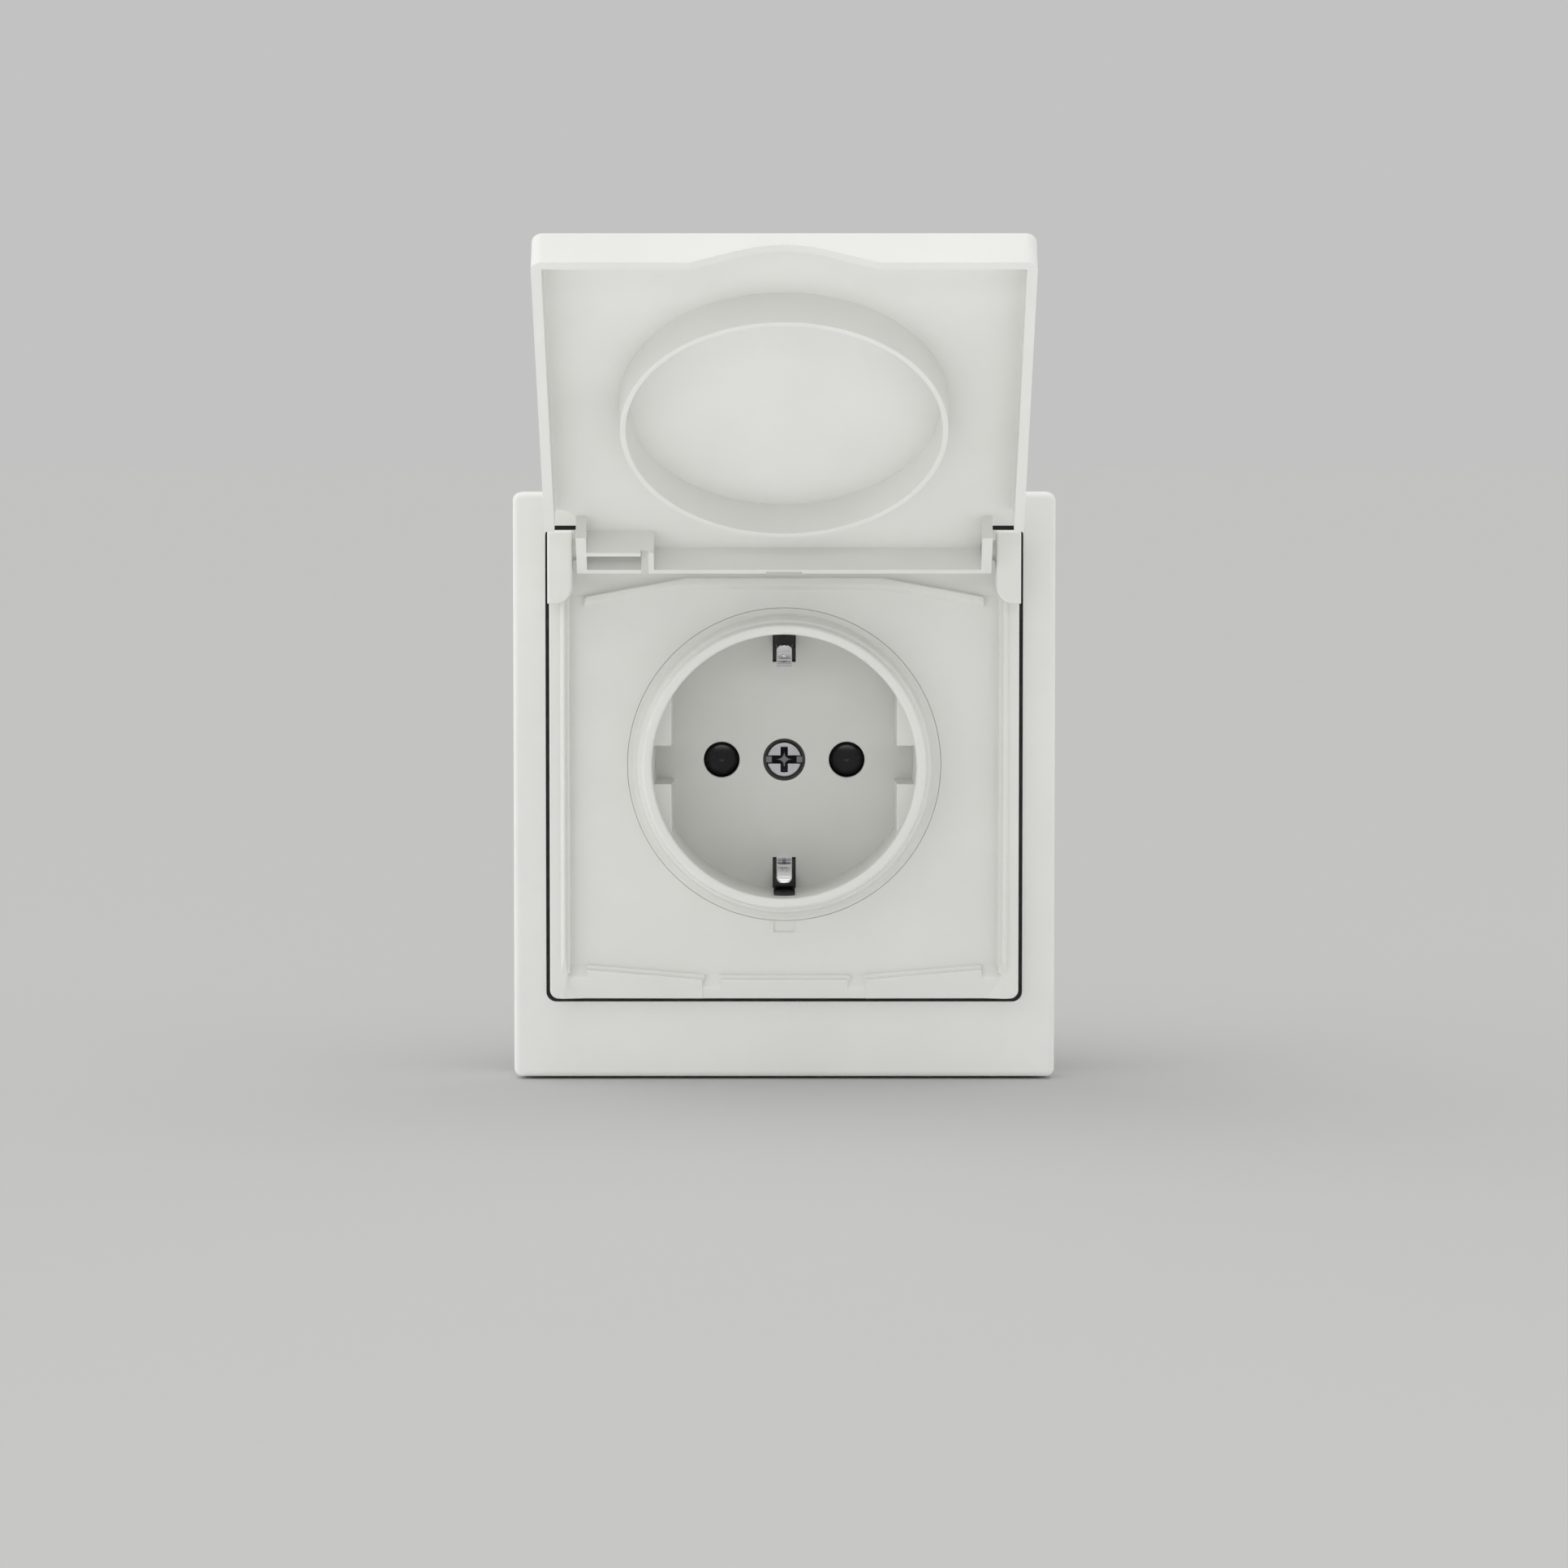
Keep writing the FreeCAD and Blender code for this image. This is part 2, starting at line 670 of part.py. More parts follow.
def make_cover_plate():
    """The square insert: field, side ledges, drain ribs, hinge lugs, and a skirt behind."""
    body = square_slab(insert_half, insert_corner_r, ledge_y, plate_back)
    body = body.makeFillet(insert_edge_r, edges_at(body, ledge_y))
    low_ledge = rail_foot_half + 1.0
    body = body.cut([block((-rail_foot_half, rail_foot_half), (-far, field_y), (-far, far)),
                     block((-low_ledge, low_ledge), (-far, field_y), (-far, rail_low_z)), hinge_recess()])
    body = body.fuse([make_rails(), make_ridge(), make_drain_ribs(), make_corner_slope(), make_lugs()])
    skirt_half = insert_half - skirt_gap
    skirt = square_slab(skirt_half, insert_corner_r, plate_back, frame_ledge_y)
    skirt = skirt.cut(square_slab(skirt_half - skirt_wall, insert_corner_r, plate_back, frame_ledge_y))
    hub_inner_r = cup_wall_r + seam_gap
    hub = tube(hub_inner_r + skirt_wall, hub_inner_r, plate_back, frame_ledge_y)
    spokes = []
    for i in range(hub_rib_count):
        spoke = block((hub_inner_r + skirt_wall / 2, far), (plate_back, frame_ledge_y - 1.0),
                      (-hub_rib_thick / 2, hub_rib_thick / 2))
        spoke.rotate(Vector(0, 0, 0), Vector(0, 1, 0), (i + 0.5) * 360 / hub_rib_count)
        inside = square_slab(skirt_half - skirt_wall / 2, insert_corner_r, -far, far)
        spokes.append(spoke.common(inside))
    body = body.fuse([skirt, hub] + spokes)
    body = body.cut([disc(flange_r, -far, field_y + flange_thick), disc(hub_inner_r, -far, far)])
    notch = block((-pry_notch_half, pry_notch_half), (field_y, field_y + pry_notch_depth),
                  (-flange_r - pry_notch_height, -flange_r + 0.3))
    return body.cut(notch).removeSplitter()


def make_guide():
    """The right-hand guide block in the cup, notched in its middle."""
    front = cup_rim_y + guide_setback
    profile = [(guide_face_x + guide_draft, front, 0.2), (far, front), (far, cup_floor_y + 0.1),
               (guide_face_x, cup_floor_y + 0.1)]
    guide = along_z(profile, -far, far).common(disc(cup_foot_r + 0.4, front, cup_floor_y + 0.1))
    return guide.cut(block((0, far), (-far, far), (-guide_notch_half, guide_notch_half)))


def make_socket_cup():
    """The cup that takes the plug, with its tapered collar and the flange that seats in the plate."""
    profile = [
        (0, cup_floor_y), (cup_foot_r, cup_floor_y), (cup_mouth_r, cup_rim_y, rim_round),
        (rim_outer_r, cup_rim_y, rim_round),
        (rim_outer_r + collar_taper, collar_step_y - 0.15, 0.1), (collar_step_r, collar_step_y, 0.15),
        (collar_foot_r, field_y, collar_round), (flange_r - seam_gap, field_y),
        (flange_r - seam_gap, field_y + flange_thick), (cup_wall_r, field_y + flange_thick),
        (cup_wall_r, cup_back), (0, cup_back)]
    bosses = [disc(wide_boss_r, cup_back - 0.1, cup_skirt_back), disc(boss_r, cup_back - 0.1, base_front)]
    cup = turned(profile).fuse([both_sides(make_guide())] + bosses)
    cuts = [disc(screw_recess_r, cup_floor_y - 1, cup_floor_y + screw_recess_depth),
            disc(screw_shank_r + 0.15, cup_floor_y, far)]
    for x in (-pin_spacing / 2, pin_spacing / 2):
        cuts.append(disc(pin_hole_r, cup_floor_y - 1, far, x))
        lead = Part.makeCone(pin_hole_r + pin_hole_lead, pin_hole_r, pin_hole_lead,
                             Vector(x, cup_floor_y, 0), Vector(0, 1, 0))
        cuts.append(lead)
    slot = block((-earth_slot_half, earth_slot_half), (cup_floor_y - 0.5, far),
                 (earth_slot_inner, groove_top_z))
    groove = block((-earth_groove_half, earth_groove_half), (groove_front_y, cup_floor_y),
                   (earth_slot_inner, groove_top_z))
    groove = groove.common(disc(groove_top_z, -far, far))
    for cut in (slot, groove):
        cuts += [cut, mirror_z(cut)]
    return cup.cut(cuts).removeSplitter()


def lid_block(xs, us, ys):
    """A box in the shut lid, where u is the distance down from the hinge."""
    return block(xs, ys, (hinge_z - us[0], hinge_z - us[1]))


def make_lid_shell():
    """The lid's tray: a skin with four walls, open towards the plate."""
    tray = slab(lid_half_width, lid_low_z, insert_half, lid_corner_r, lid_skin_y, lid_rim_y)
    tray = tray.makeFillet(lid_edge_r, edges_at(tray, lid_skin_y))
    inner_r = max(lid_corner_r - lid_wall, 0.3)
    hollow = slab(lid_half_width - lid_wall, lid_low_z + lid_wall, far, inner_r, lid_floor_y, lid_rim_y + 1)
    hollow = hollow.makeFillet(lid_wall_foot_r, edges_at(hollow, lid_floor_y))
    return tray.cut(hollow)


def make_lid_ring():
    """The round rib inside the lid that closes over the cup's collar."""
    rim_y = field_y - lid_ring_rest
    outer = lid_ring_inner_r + lid_ring_rim
    inner = lid_ring_inner_r
    profile = [(inner - lid_ring_draft, lid_floor_y - 0.2), (inner, rim_y, lid_ring_round),
               (outer, rim_y, lid_ring_round), (outer + lid_ring_draft, lid_floor_y - 0.2)]
    return turned(profile)


def grip_notch():
    """The finger notch in the lid's free edge: two straight flanks and a wide arc."""
    beside = grip_half + 2.0
    peak = grip_half * math.tan(math.radians(grip_slope_deg))
    outline = [(beside, lid_rim_y + 1), (beside, lid_rim_y), (grip_half, lid_rim_y, grip_foot_r),
               (0, lid_rim_y - peak, grip_top_r), (-grip_half, lid_rim_y, grip_foot_r), (-beside, lid_rim_y),
               (-beside, lid_rim_y + 1)]
    return along_z(outline, lid_low_z - 1, lid_low_z + lid_wall + 0.5)


def make_hinge_end():
    """The lid's cross wall, ears and spring pocket beside the hinge."""
    ys = (lid_floor_y - 0.2, lid_rim_y)
    wall_outer_u = hinge_wall_inner_u - hinge_wall_thick
    wall = lid_block((-ear_outer_half, ear_outer_half), (hinge_wall_inner_u, wall_outer_u), ys)
    thumb = lid_block((-thumb_notch_half, thumb_notch_half),
                      (hinge_wall_inner_u - hinge_wall_thick / 2, wall_outer_u),
                      (lid_rim_y - thumb_notch_depth, lid_rim_y))
    ear_inner = ear_outer_half - ear_thick
    ear = lid_block((ear_inner, ear_outer_half), (ear_reach, wall_outer_u), ys)
    eye = bar_x(ear_eye_r, ear_inner, ear_outer_half, hinge_y, hinge_z)
    ears = both_sides(ear.fuse(eye.common(lid_block((0, far), (-far, far), (lid_skin_y, lid_rim_y)))))
    pocket_x = pocket_width - ear_inner
    pocket = lid_block((-ear_inner, pocket_x), (pocket_outer_u, pocket_outer_u - hinge_wall_thick), ys)
    divider = lid_block((pocket_x - pocket_divider, pocket_x), (pocket_outer_u, wall_outer_u), ys)
    slot_xs = (pocket_x - pocket_divider - pocket_slot, pocket_x - pocket_divider)
    pocket_slot_box = lid_block(slot_xs, (pocket_outer_u + 1, hinge_wall_inner_u),
                                (lid_rim_y - pocket_slot_depth, lid_rim_y))
    wall_slot_box = lid_block(slot_xs, (hinge_wall_inner_u, wall_outer_u - 1),
                              (lid_rim_y - spring_slot_depth, lid_rim_y))
    return wall.cut(thumb).fuse([ears, pocket, divider]).cut([pocket_slot_box, wall_slot_box])


def lid_corner_notch():
    """The cut at a hinge corner of the lid, which the plate's lug fills when the lid is shut."""
    notch = lid_block((ear_outer_half, far), (lid_notch_reach, -far), (-far, far))
    inner = [e for e in edges_along(notch, "y") if e.BoundBox.XMax < ear_outer_half + 1
             and e.BoundBox.ZMax < hinge_z]
    return both_sides(notch.makeFillet(lid_notch_r, inner))


def make_lid():
    """The lid, built shut and then turned open about its hinge."""
    lid = make_lid_shell().fuse([make_lid_ring(), make_hinge_end()])
    eyes = bar_x(pin_r + pin_running_gap, -ear_outer_half - 1, ear_outer_half + 1, hinge_y, hinge_z)
    ear_inner = ear_outer_half - ear_thick
    eyes = eyes.cut(block((-ear_inner, ear_inner), (-far, far), (-far, far)))
    lid = lid.cut([lid_corner_notch(), grip_notch(), eyes]).removeSplitter()
    lid.rotate(Vector(0, hinge_y, hinge_z), Vector(1, 0, 0), -lid_open_deg)
    return lid


def make_hinge_pin():
    """The right-hand hinge pin, held in the lug and running in the lid's ear."""
    start = ear_outer_half - ear_thick + pin_end_gap
    return bar_x(pin_r, start, lug_inner_half + pin_in_lug, hinge_y, hinge_z)


def make_centre_screw():
    """The screw that holds cup, plate and frame, with a slot and a cross in its head."""
    head_front = cup_floor_y + screw_head_top
    head_back = cup_floor_y + screw_recess_depth - screw_seal_thick
    head = disc(screw_head_r, head_front, head_back)
    head = head.makeChamfer(screw_head_chamfer, edges_at(head, head_front))
    slot = block((-far, far), (head_front - 1, head_front + screw_slot_depth),
                 (-screw_slot_width / 2, screw_slot_width / 2))
    long, narrow = screw_cross_half, screw_cross_width / 2
    arms = [block((-a, a), (head_front - 1, head_front + screw_cross_depth), (-b, b))
            for a, b in ((long, narrow), (narrow, long))]
    return head.fuse(disc(screw_shank_r, head_back, head_back + screw_length)).cut([slot] + arms)


def stop_posts():
    """Two posts in the shutter's hollow, one beside each wing."""
    posts = []
    for turn in (0, 180):
        angle = math.radians(stop_post_deg + turn)
        posts.append(disc(stop_post_r, base_front, cavity_back,
                          stop_post_circle * math.cos(angle), stop_post_circle * math.sin(angle)))
    return posts


def make_shutter():
    """The child-safety shutter: two domed wings on a hub that turns about the base's boss."""
    wing_front = shutter_front + shutter_dome
    dome_r = (shutter_wing_r ** 2 + shutter_dome ** 2) / (2 * shutter_dome)
    half_r = shutter_wing_r / 2
    half_y = shutter_front + dome_r - math.sqrt(dome_r ** 2 - half_r ** 2)
    corners = [Vector(shutter_wing_r, wing_front, 0), Vector(shutter_wing_r, shutter_back, 0),
               Vector(0, shutter_back, 0), Vector(0, shutter_front, 0)]
    edges = [Part.Arc(corners[3], Vector(half_r, half_y, 0), corners[0]).toShape()]
    edges += [Part.makeLine(corners[i], corners[i + 1]) for i in range(3)]
    wing = Part.Face(Part.Wire(edges)).revolve(Vector(0, 0, 0), Vector(0, 1, 0), 360)
    wings = []
    for x in (-pin_spacing / 2, pin_spacing / 2):
        wing_here = wing.copy()
        wing_here.translate(Vector(x, 0, 0))
        wings.append(wing_here)
    arm_back = shutter_hub_front + shutter_arm_thick
    arm = block((-pin_spacing / 2, pin_spacing / 2), (shutter_hub_front, arm_back),
                (-shutter_arm_half, shutter_arm_half))
    body = disc(shutter_hub_r, shutter_hub_front, shutter_back).fuse(wings + [arm])
    spring_room = tube(spring_r + 3 * spring_wire_r, shutter_hub_r, arm_back, shutter_back)
    return body.cut([disc(boss_r + pin_running_gap, -far, far), spring_room]).removeSplitter()


def make_shutter_spring():
    """The fine coil round the shutter's hub."""
    back = shutter_back - spring_wire_r
    front = back - spring_pitch * spring_turns
    path = Part.makeHelix(spring_pitch, spring_pitch * spring_turns, spring_r)
    section = Part.Wire([Part.makeCircle(spring_wire_r, Vector(spring_r, 0, 0), Vector(0, 1, 0))])
    coil = Part.Wire(path).makePipeShell([section], True, True)
    coil.rotate(Vector(0, 0, 0), Vector(1, 0, 0), -90)
    coil.translate(Vector(0, front, 0))
    return coil


def clamp_pocket(x, z, side):
    """The room for one terminal clamp, its driver hole and its wire way."""
    reach = clamp_half + fit_gap
    room_front = clamp_front - clamp_screw_head - clamp_screw_gap
    room = block((x - reach, x + reach), (room_front, far), (z - reach, z + reach))
    driver = disc(driver_hole_r, -far, clamp_front, x, z)
    way = Part.makeCylinder(wire_hole_r + fit_gap, far, Vector(x, wire_y, z), Vector(0, 0, side))
    return [room, driver, way]


def make_base_body():
    """The insulating base: shutter hollow in front, contact and terminal rooms open behind."""
    base = disc(base_r, base_front, base_back)
    for side in (-1, 1):
        flat = block((-far, far), (base_front + base_flat_start, far), (side * base_flat_half, side * far))
        base = base.cut(flat)
    base = base.fuse(tube(base_r, base_collar_inner_r, 0, base_front + 0.1))
    hollow = disc(cavity_r, base_front - 1, cavity_back).cut(disc(boss_r, base_front, cavity_back))
    hollow = hollow.cut(stop_posts())
    bore_end = cup_floor_y + screw_recess_depth + screw_length + 1
    cuts = [hollow, disc(screw_shank_r + pin_running_gap, -far, bore_end)]
    reach = leaf_half_width + fit_gap
    leg_inner = strap_leg_z - strap_thick / 2 - fit_gap
    leg_outer = strap_leg_z + strap_thick / 2 + fit_gap
    leg_half = strap_half_width + fit_gap
    for side in (-1, 1):
        x = side * pin_spacing / 2
        cuts.append(disc(pin_entry_r, base_front, leaf_front, x))
        cuts.append(block((x - reach, x + reach), (cavity_back + contact_wall, far), (-4.2, 4.2)))
        cuts.append(along_y([(side * a, b) for a, b in tail_outline(fit_gap)], tail_front - fit_gap, far))
        cuts += clamp_pocket(side * clamp_x, clamp_z, 1)
        cuts.append(block((-leg_half, leg_half), (0, far), (side * leg_inner, side * leg_outer)))
    cuts += clamp_pocket(earth_clamp_x, earth_clamp_z, -1) + clip_rooms()
    cuts.append(along_y(earth_tab_outline(fit_gap), tail_front - fit_gap, far))
    for angle in rivet_angles():
        cuts.append(disc(rivet_r + pin_seat_gap, -1, rivet_depth + 0.3, *on_circle(rivet_circle_r, angle)))
    for x in (-cover_rivet_x, cover_rivet_x):
        cuts.append(disc(rivet_r + pin_seat_gap, base_back - cover_rivet_depth, far, x, cover_rivet_z))
    return base.cut(cuts).fuse(clip_guides()).removeSplitter()


def rivet_angles():
    """The four diagonal directions of the support ring's rivets."""
    return [45 + 90 * i for i in range(4)]


def on_circle(radius, degrees):
    """The x and z of a point on a circle about the socket's axis."""
    return radius * math.cos(math.radians(degrees)), radius * math.sin(math.radians(degrees))


def tail_outline(grow):
    """The right-hand contact's tail, from behind the pin to behind the clamp."""
    low_x = pin_spacing / 2 - leaf_half_width - grow
    step_x = pin_spacing / 2 + leaf_half_width + grow
    high_x = clamp_x + clamp_half + grow
    low_z = clamp_z - tail_half_width - grow
    high_z = clamp_z + tail_half_width + grow
    return [(low_x, -leaf_back_half - grow), (step_x, -leaf_back_half - grow), (step_x, low_z),
            (high_x, low_z), (high_x, high_z), (low_x, high_z)]


def earth_tab_outline(grow):
    """The tab that runs from the earth strap's lower leg to behind the earth clamp."""
    low_z = -strap_leg_z - strap_thick / 2 - grow
    high_z = -strap_leg_z + strap_thick / 2 + strap_tab_width + grow
    return [(-strap_half_width - grow, low_z), (earth_clamp_x + clamp_half + grow, low_z),
            (earth_clamp_x + clamp_half + grow, high_z), (-strap_half_width - grow, high_z)]


def make_base_cover():
    """The flat cover behind the base, with slots for the earth strap's legs."""
    cover = disc(base_r - base_cover_inset, base_back, cover_back)
    for side in (-1, 1):
        flat_z = side * (base_flat_half - base_cover_inset)
        cover = cover.cut(block((-far, far), (0, far), (flat_z, side * far)))
    leg = block((-strap_half_width - fit_gap, strap_half_width + fit_gap), (0, far),
                (strap_leg_z - strap_thick / 2 - fit_gap, strap_leg_z + strap_thick / 2 + fit_gap))
    holes = [leg, mirror_z(leg)]
    for x in (-cover_rivet_x, cover_rivet_x):
        holes.append(disc(rivet_r + pin_seat_gap, 0, far, x, cover_rivet_z))
    return cover.cut(holes)


def make_contact():
    """The right-hand contact: two leaves that pinch the pin, and a tail to its clamp."""
    pinch_y = leaf_front + 1.3
    leaf = [(leaf_front, leaf_mouth_half), (pinch_y, leaf_pinch_half), (pinch_y + 2, leaf_pinch_half),
            (leaf_back - 2, leaf_back_half), (leaf_back, leaf_back_half)]
    path = leaf + [(y, -z) for y, z in leaf[::-1]]
    x_low = pin_spacing / 2 - leaf_half_width
    tulip = along_x(strip(path, leaf_thick), x_low, Vector(2 * leaf_half_width, 0, 0))
    return tulip.fuse(along_y(tail_outline(0), tail_front, tail_back)).removeSplitter()


def make_clamp(x, z):
    """One brass terminal clamp with its wire hole and its screw's bore."""
    clamp = block((x - clamp_half, x + clamp_half), (clamp_front, tail_front),
                  (z - clamp_half, z + clamp_half))
    wire = Part.makeCylinder(wire_hole_r, 2 * far, Vector(x, wire_y, z - far), Vector(0, 0, 1))
    return clamp.cut([wire, disc(clamp_screw_r + pin_seat_gap, 0, wire_y, x, z)])


def make_clamp_screw(x, z):
    """One terminal screw, with a slotted head."""
    seat = clamp_front - clamp_screw_gap
    screw = disc(clamp_screw_head_r, seat - clamp_screw_head, seat, x, z)
    screw = screw.fuse(disc(clamp_screw_r, seat, wire_y - wire_hole_r / 2, x, z))
    half = clamp_screw_slot / 2
    return screw.cut(block((x - far, x + far), (0, seat - clamp_screw_head + half), (z - half, z + half)))


def make_earth_strap():
    """The earth strap: a U with a sprung clip at the end of each leg, and a tab to the clamp."""
    bar_y = cover_back + strap_thick / 2
    neck = (cup_rim_y + clip_neck_y, strap_leg_z - clip_neck_in)
    apex = (cup_rim_y + clip_apex_y, strap_leg_z - clip_apex_in)
    tip = (cup_rim_y + clip_tip_y, strap_leg_z + clip_tip_out)
    leg = [(bar_y, 0), (bar_y, strap_leg_z), (neck[0] + 2, strap_leg_z), neck,
           (apex[0] + 1.2, apex[1] + 0.35), apex, (apex[0] - 1.0, apex[1] + 0.3), tip]
    half = along_x(strip(leg, strap_thick), -strap_half_width, Vector(2 * strap_half_width, 0, 0))
    top = tip[1] + 0.25
    beyond = strap_half_width + 1.0
    rounded = along_y([(-strap_half_width, 0), (-strap_half_width, top, strap_end_r),
                       (strap_half_width, top, strap_end_r), (strap_half_width, 0)], -far, apex[0])
    tip_box = block((-beyond, beyond), (-far, apex[0]), (strap_leg_z - clip_apex_in, far))
    half = half.cut(tip_box.cut(rounded))
    bar_z = strap_leg_z - strap_thick
    bar = block((-strap_bar_half_width, strap_bar_half_width), (cover_back, cover_back + strap_thick),
                (-bar_z, bar_z))
    tab = along_y(earth_tab_outline(0), tail_front, tail_back)
    return half.fuse([mirror_z(half), bar, tab]).removeSplitter()


def box_slot(along_z_axis):
    """A slotted hole for one box screw, on the right or at the top."""
    reach = box_slot_length / 2 - box_slot_r
    x = box_screw_pitch / 2
    slot = block((x - reach, x + reach), (-far, far), (-box_slot_r, box_slot_r))
    slot = slot.fuse([disc(box_slot_r, -far, far, x - reach), disc(box_slot_r, -far, far, x + reach)])
    if along_z_axis:
        slot.rotate(Vector(0, 0, 0), Vector(0, 1, 0), -90)
    return slot


def make_support_ring():
    """The steel ring that is screwed to the wall box and carries the base."""
    ring = square_slab(ring_half, ring_corner_r, -ring_thick, 0)
    cuts = [disc(ring_hole_r, -far, far)]
    right = box_slot(False)
    top = box_slot(True)
    cuts += [right, mirror_x(right), top, mirror_z(top)]
    for angle in rivet_angles():
        cuts.append(disc(rivet_r + pin_seat_gap, -far, far, *on_circle(rivet_circle_r, angle)))
    return ring.cut(cuts)


def make_rivet(x, z, y_head, y_end):
    """A rivet along Y with its head at y_head, flat against the sheet."""
    low, high = sorted((y_head, y_end))
    shank = disc(rivet_r, low, high, x, z)
    head_y = y_head - rivet_head if y_head < y_end else y_head
    return shank.fuse(disc(rivet_head_r, head_y, head_y + rivet_head, x, z))


def make_ring_rivets():
    """The four rivets that hold the ring on the base."""
    return Part.makeCompound([make_rivet(*on_circle(rivet_circle_r, a), -ring_thick, rivet_depth)
                              for a in rivet_angles()])


def make_cover_rivets():
    """The two rivets that hold the base's cover."""
    end = base_back - cover_rivet_depth + 0.3
    return Part.makeCompound([make_rivet(x, cover_rivet_z, cover_back, end)
                              for x in (-cover_rivet_x, cover_rivet_x)])


def build_all():
    """Every sub-part by its node name."""
    pin = make_hinge_pin()
    contact = make_contact()
    clamps = {"line": (-clamp_x, clamp_z), "neutral": (clamp_x, clamp_z),
              "earth": (earth_clamp_x, earth_clamp_z)}
    parts = {
        "frame": make_frame(), "wall_seal": make_wall_seal(), "insert_seal": make_insert_seal(),
        "cover_plate": make_cover_plate(), "socket_cup": make_socket_cup(), "lid": make_lid(),
        "hinge_pin_right": pin, "hinge_pin_left": mirror_x(pin),
        "centre_screw": make_centre_screw(), "screw_seal": make_screw_seal(), "shutter": make_shutter(),
        "shutter_spring": make_shutter_spring(), "base_body": make_base_body(),
        "base_cover": make_base_cover(), "cover_rivets": make_cover_rivets(),
        "contact_right": contact, "contact_left": mirror_x(contact),
        "earth_strap": make_earth_strap(), "support_ring": make_support_ring(),
        "ring_rivets": make_ring_rivets()}
    for name, (x, z) in clamps.items():
        parts["terminal_clamp_" + name] = make_clamp(x, z)
        parts["terminal_screw_" + name] = make_clamp_screw(x, z)
    return parts


def main():
    """Write one STEP file for each sub-part."""
    os.makedirs("parts", exist_ok=True)
    for name, shape in build_all().items():
        shape.exportStep(os.path.join("parts", name + ".step"))
        print(f"{name}: {len(shape.Solids)} solid(s), {shape.Volume:.2f} mm3, valid {shape.isValid()}")


main()
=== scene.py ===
# %% [markdown]
# # A weatherproof socket with its lid standing open
#
# The real thing is a white moulded socket for an outside wall: a square frame, a cover plate
# with a deep round cup in it, and a splash lid on two hinge pins. The CAD model already holds
# every sub-part at its real size, so this lesson is about light, finish and the few small
# surfaces that deserve a finer form than a plain solid gives them.
#
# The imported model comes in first. It is a fixed frame: its meshes are never moved or changed.

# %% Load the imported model
import math

import bmesh
import bpy
import numpy as np
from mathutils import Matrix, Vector


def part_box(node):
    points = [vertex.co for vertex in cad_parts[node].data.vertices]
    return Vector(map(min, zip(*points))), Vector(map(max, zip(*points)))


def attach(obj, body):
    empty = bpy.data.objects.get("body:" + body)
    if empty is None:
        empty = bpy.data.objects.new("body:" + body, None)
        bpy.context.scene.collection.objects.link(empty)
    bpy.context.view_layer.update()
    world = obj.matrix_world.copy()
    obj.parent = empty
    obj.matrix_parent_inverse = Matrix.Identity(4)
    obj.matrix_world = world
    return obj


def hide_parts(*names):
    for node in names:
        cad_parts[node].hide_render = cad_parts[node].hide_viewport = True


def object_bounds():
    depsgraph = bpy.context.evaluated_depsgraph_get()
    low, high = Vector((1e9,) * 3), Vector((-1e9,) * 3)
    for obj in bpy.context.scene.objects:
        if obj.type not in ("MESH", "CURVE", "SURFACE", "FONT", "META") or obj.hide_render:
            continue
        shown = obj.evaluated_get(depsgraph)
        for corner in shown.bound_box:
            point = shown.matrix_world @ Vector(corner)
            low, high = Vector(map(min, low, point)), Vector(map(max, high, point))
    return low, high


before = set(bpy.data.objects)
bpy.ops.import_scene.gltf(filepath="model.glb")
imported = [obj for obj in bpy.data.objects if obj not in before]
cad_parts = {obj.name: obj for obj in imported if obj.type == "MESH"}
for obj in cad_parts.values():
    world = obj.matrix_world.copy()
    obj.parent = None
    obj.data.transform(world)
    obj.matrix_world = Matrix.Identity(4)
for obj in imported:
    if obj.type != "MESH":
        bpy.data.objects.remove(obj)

MM = 0.001
cad_low, cad_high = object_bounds()
print("CAD box in mm:", [round(v / MM, 2) for v in cad_low], [round(v / MM, 2) for v in cad_high])

# %% [markdown]
# ## The camera
#
# The photograph was taken with a long lens, almost straight on and from a little above. The
# frame's sides lean together by a few pixels only, which gives the distance, and the place
# where the cup's axis vanishes gives the tilt. A lens of 128 mm on a 36 mm wide sensor, square
# format, repeats that view without any shift.

# %% Camera at the photograph's viewing angle
LENS_MM = 128.15
SENSOR_MM = 36.0
CAMERA_PLACE = Vector((-0.03, -845.5, 52.5)) * MM
CAMERA_TILT_DOWN = math.radians(3.80)


def make_camera():
    """A camera that looks along +Y, tilted down by CAMERA_TILT_DOWN."""
    data = bpy.data.cameras.new("photo_camera")
    data.lens = LENS_MM
    data.sensor_width = SENSOR_MM
    data.sensor_height = SENSOR_MM
    data.sensor_fit = "HORIZONTAL"
    data.clip_start = 0.01
    data.clip_end = 50.0
    camera = bpy.data.objects.new("photo_camera", data)
    camera.location = CAMERA_PLACE
    camera.rotation_euler = (math.pi / 2 - CAMERA_TILT_DOWN, 0.0, 0.0)
    bpy.context.scene.collection.objects.link(camera)
    bpy.context.scene.camera = camera
    return camera


make_camera()
print("camera", round(CAMERA_PLACE.y, 4), "m in front, tilted", round(math.degrees(CAMERA_TILT_DOWN), 2))

# %% [markdown]
# ## Maths on shader sockets
#
# A finish is a small sum: a base colour, a little noise, some wear. Written as nodes and links
# that sum is hard to read, so one small class wraps a socket and lets Python's own operators
# add the Math nodes. `1 - mask` and `mask * 0.5` then mean what they say.


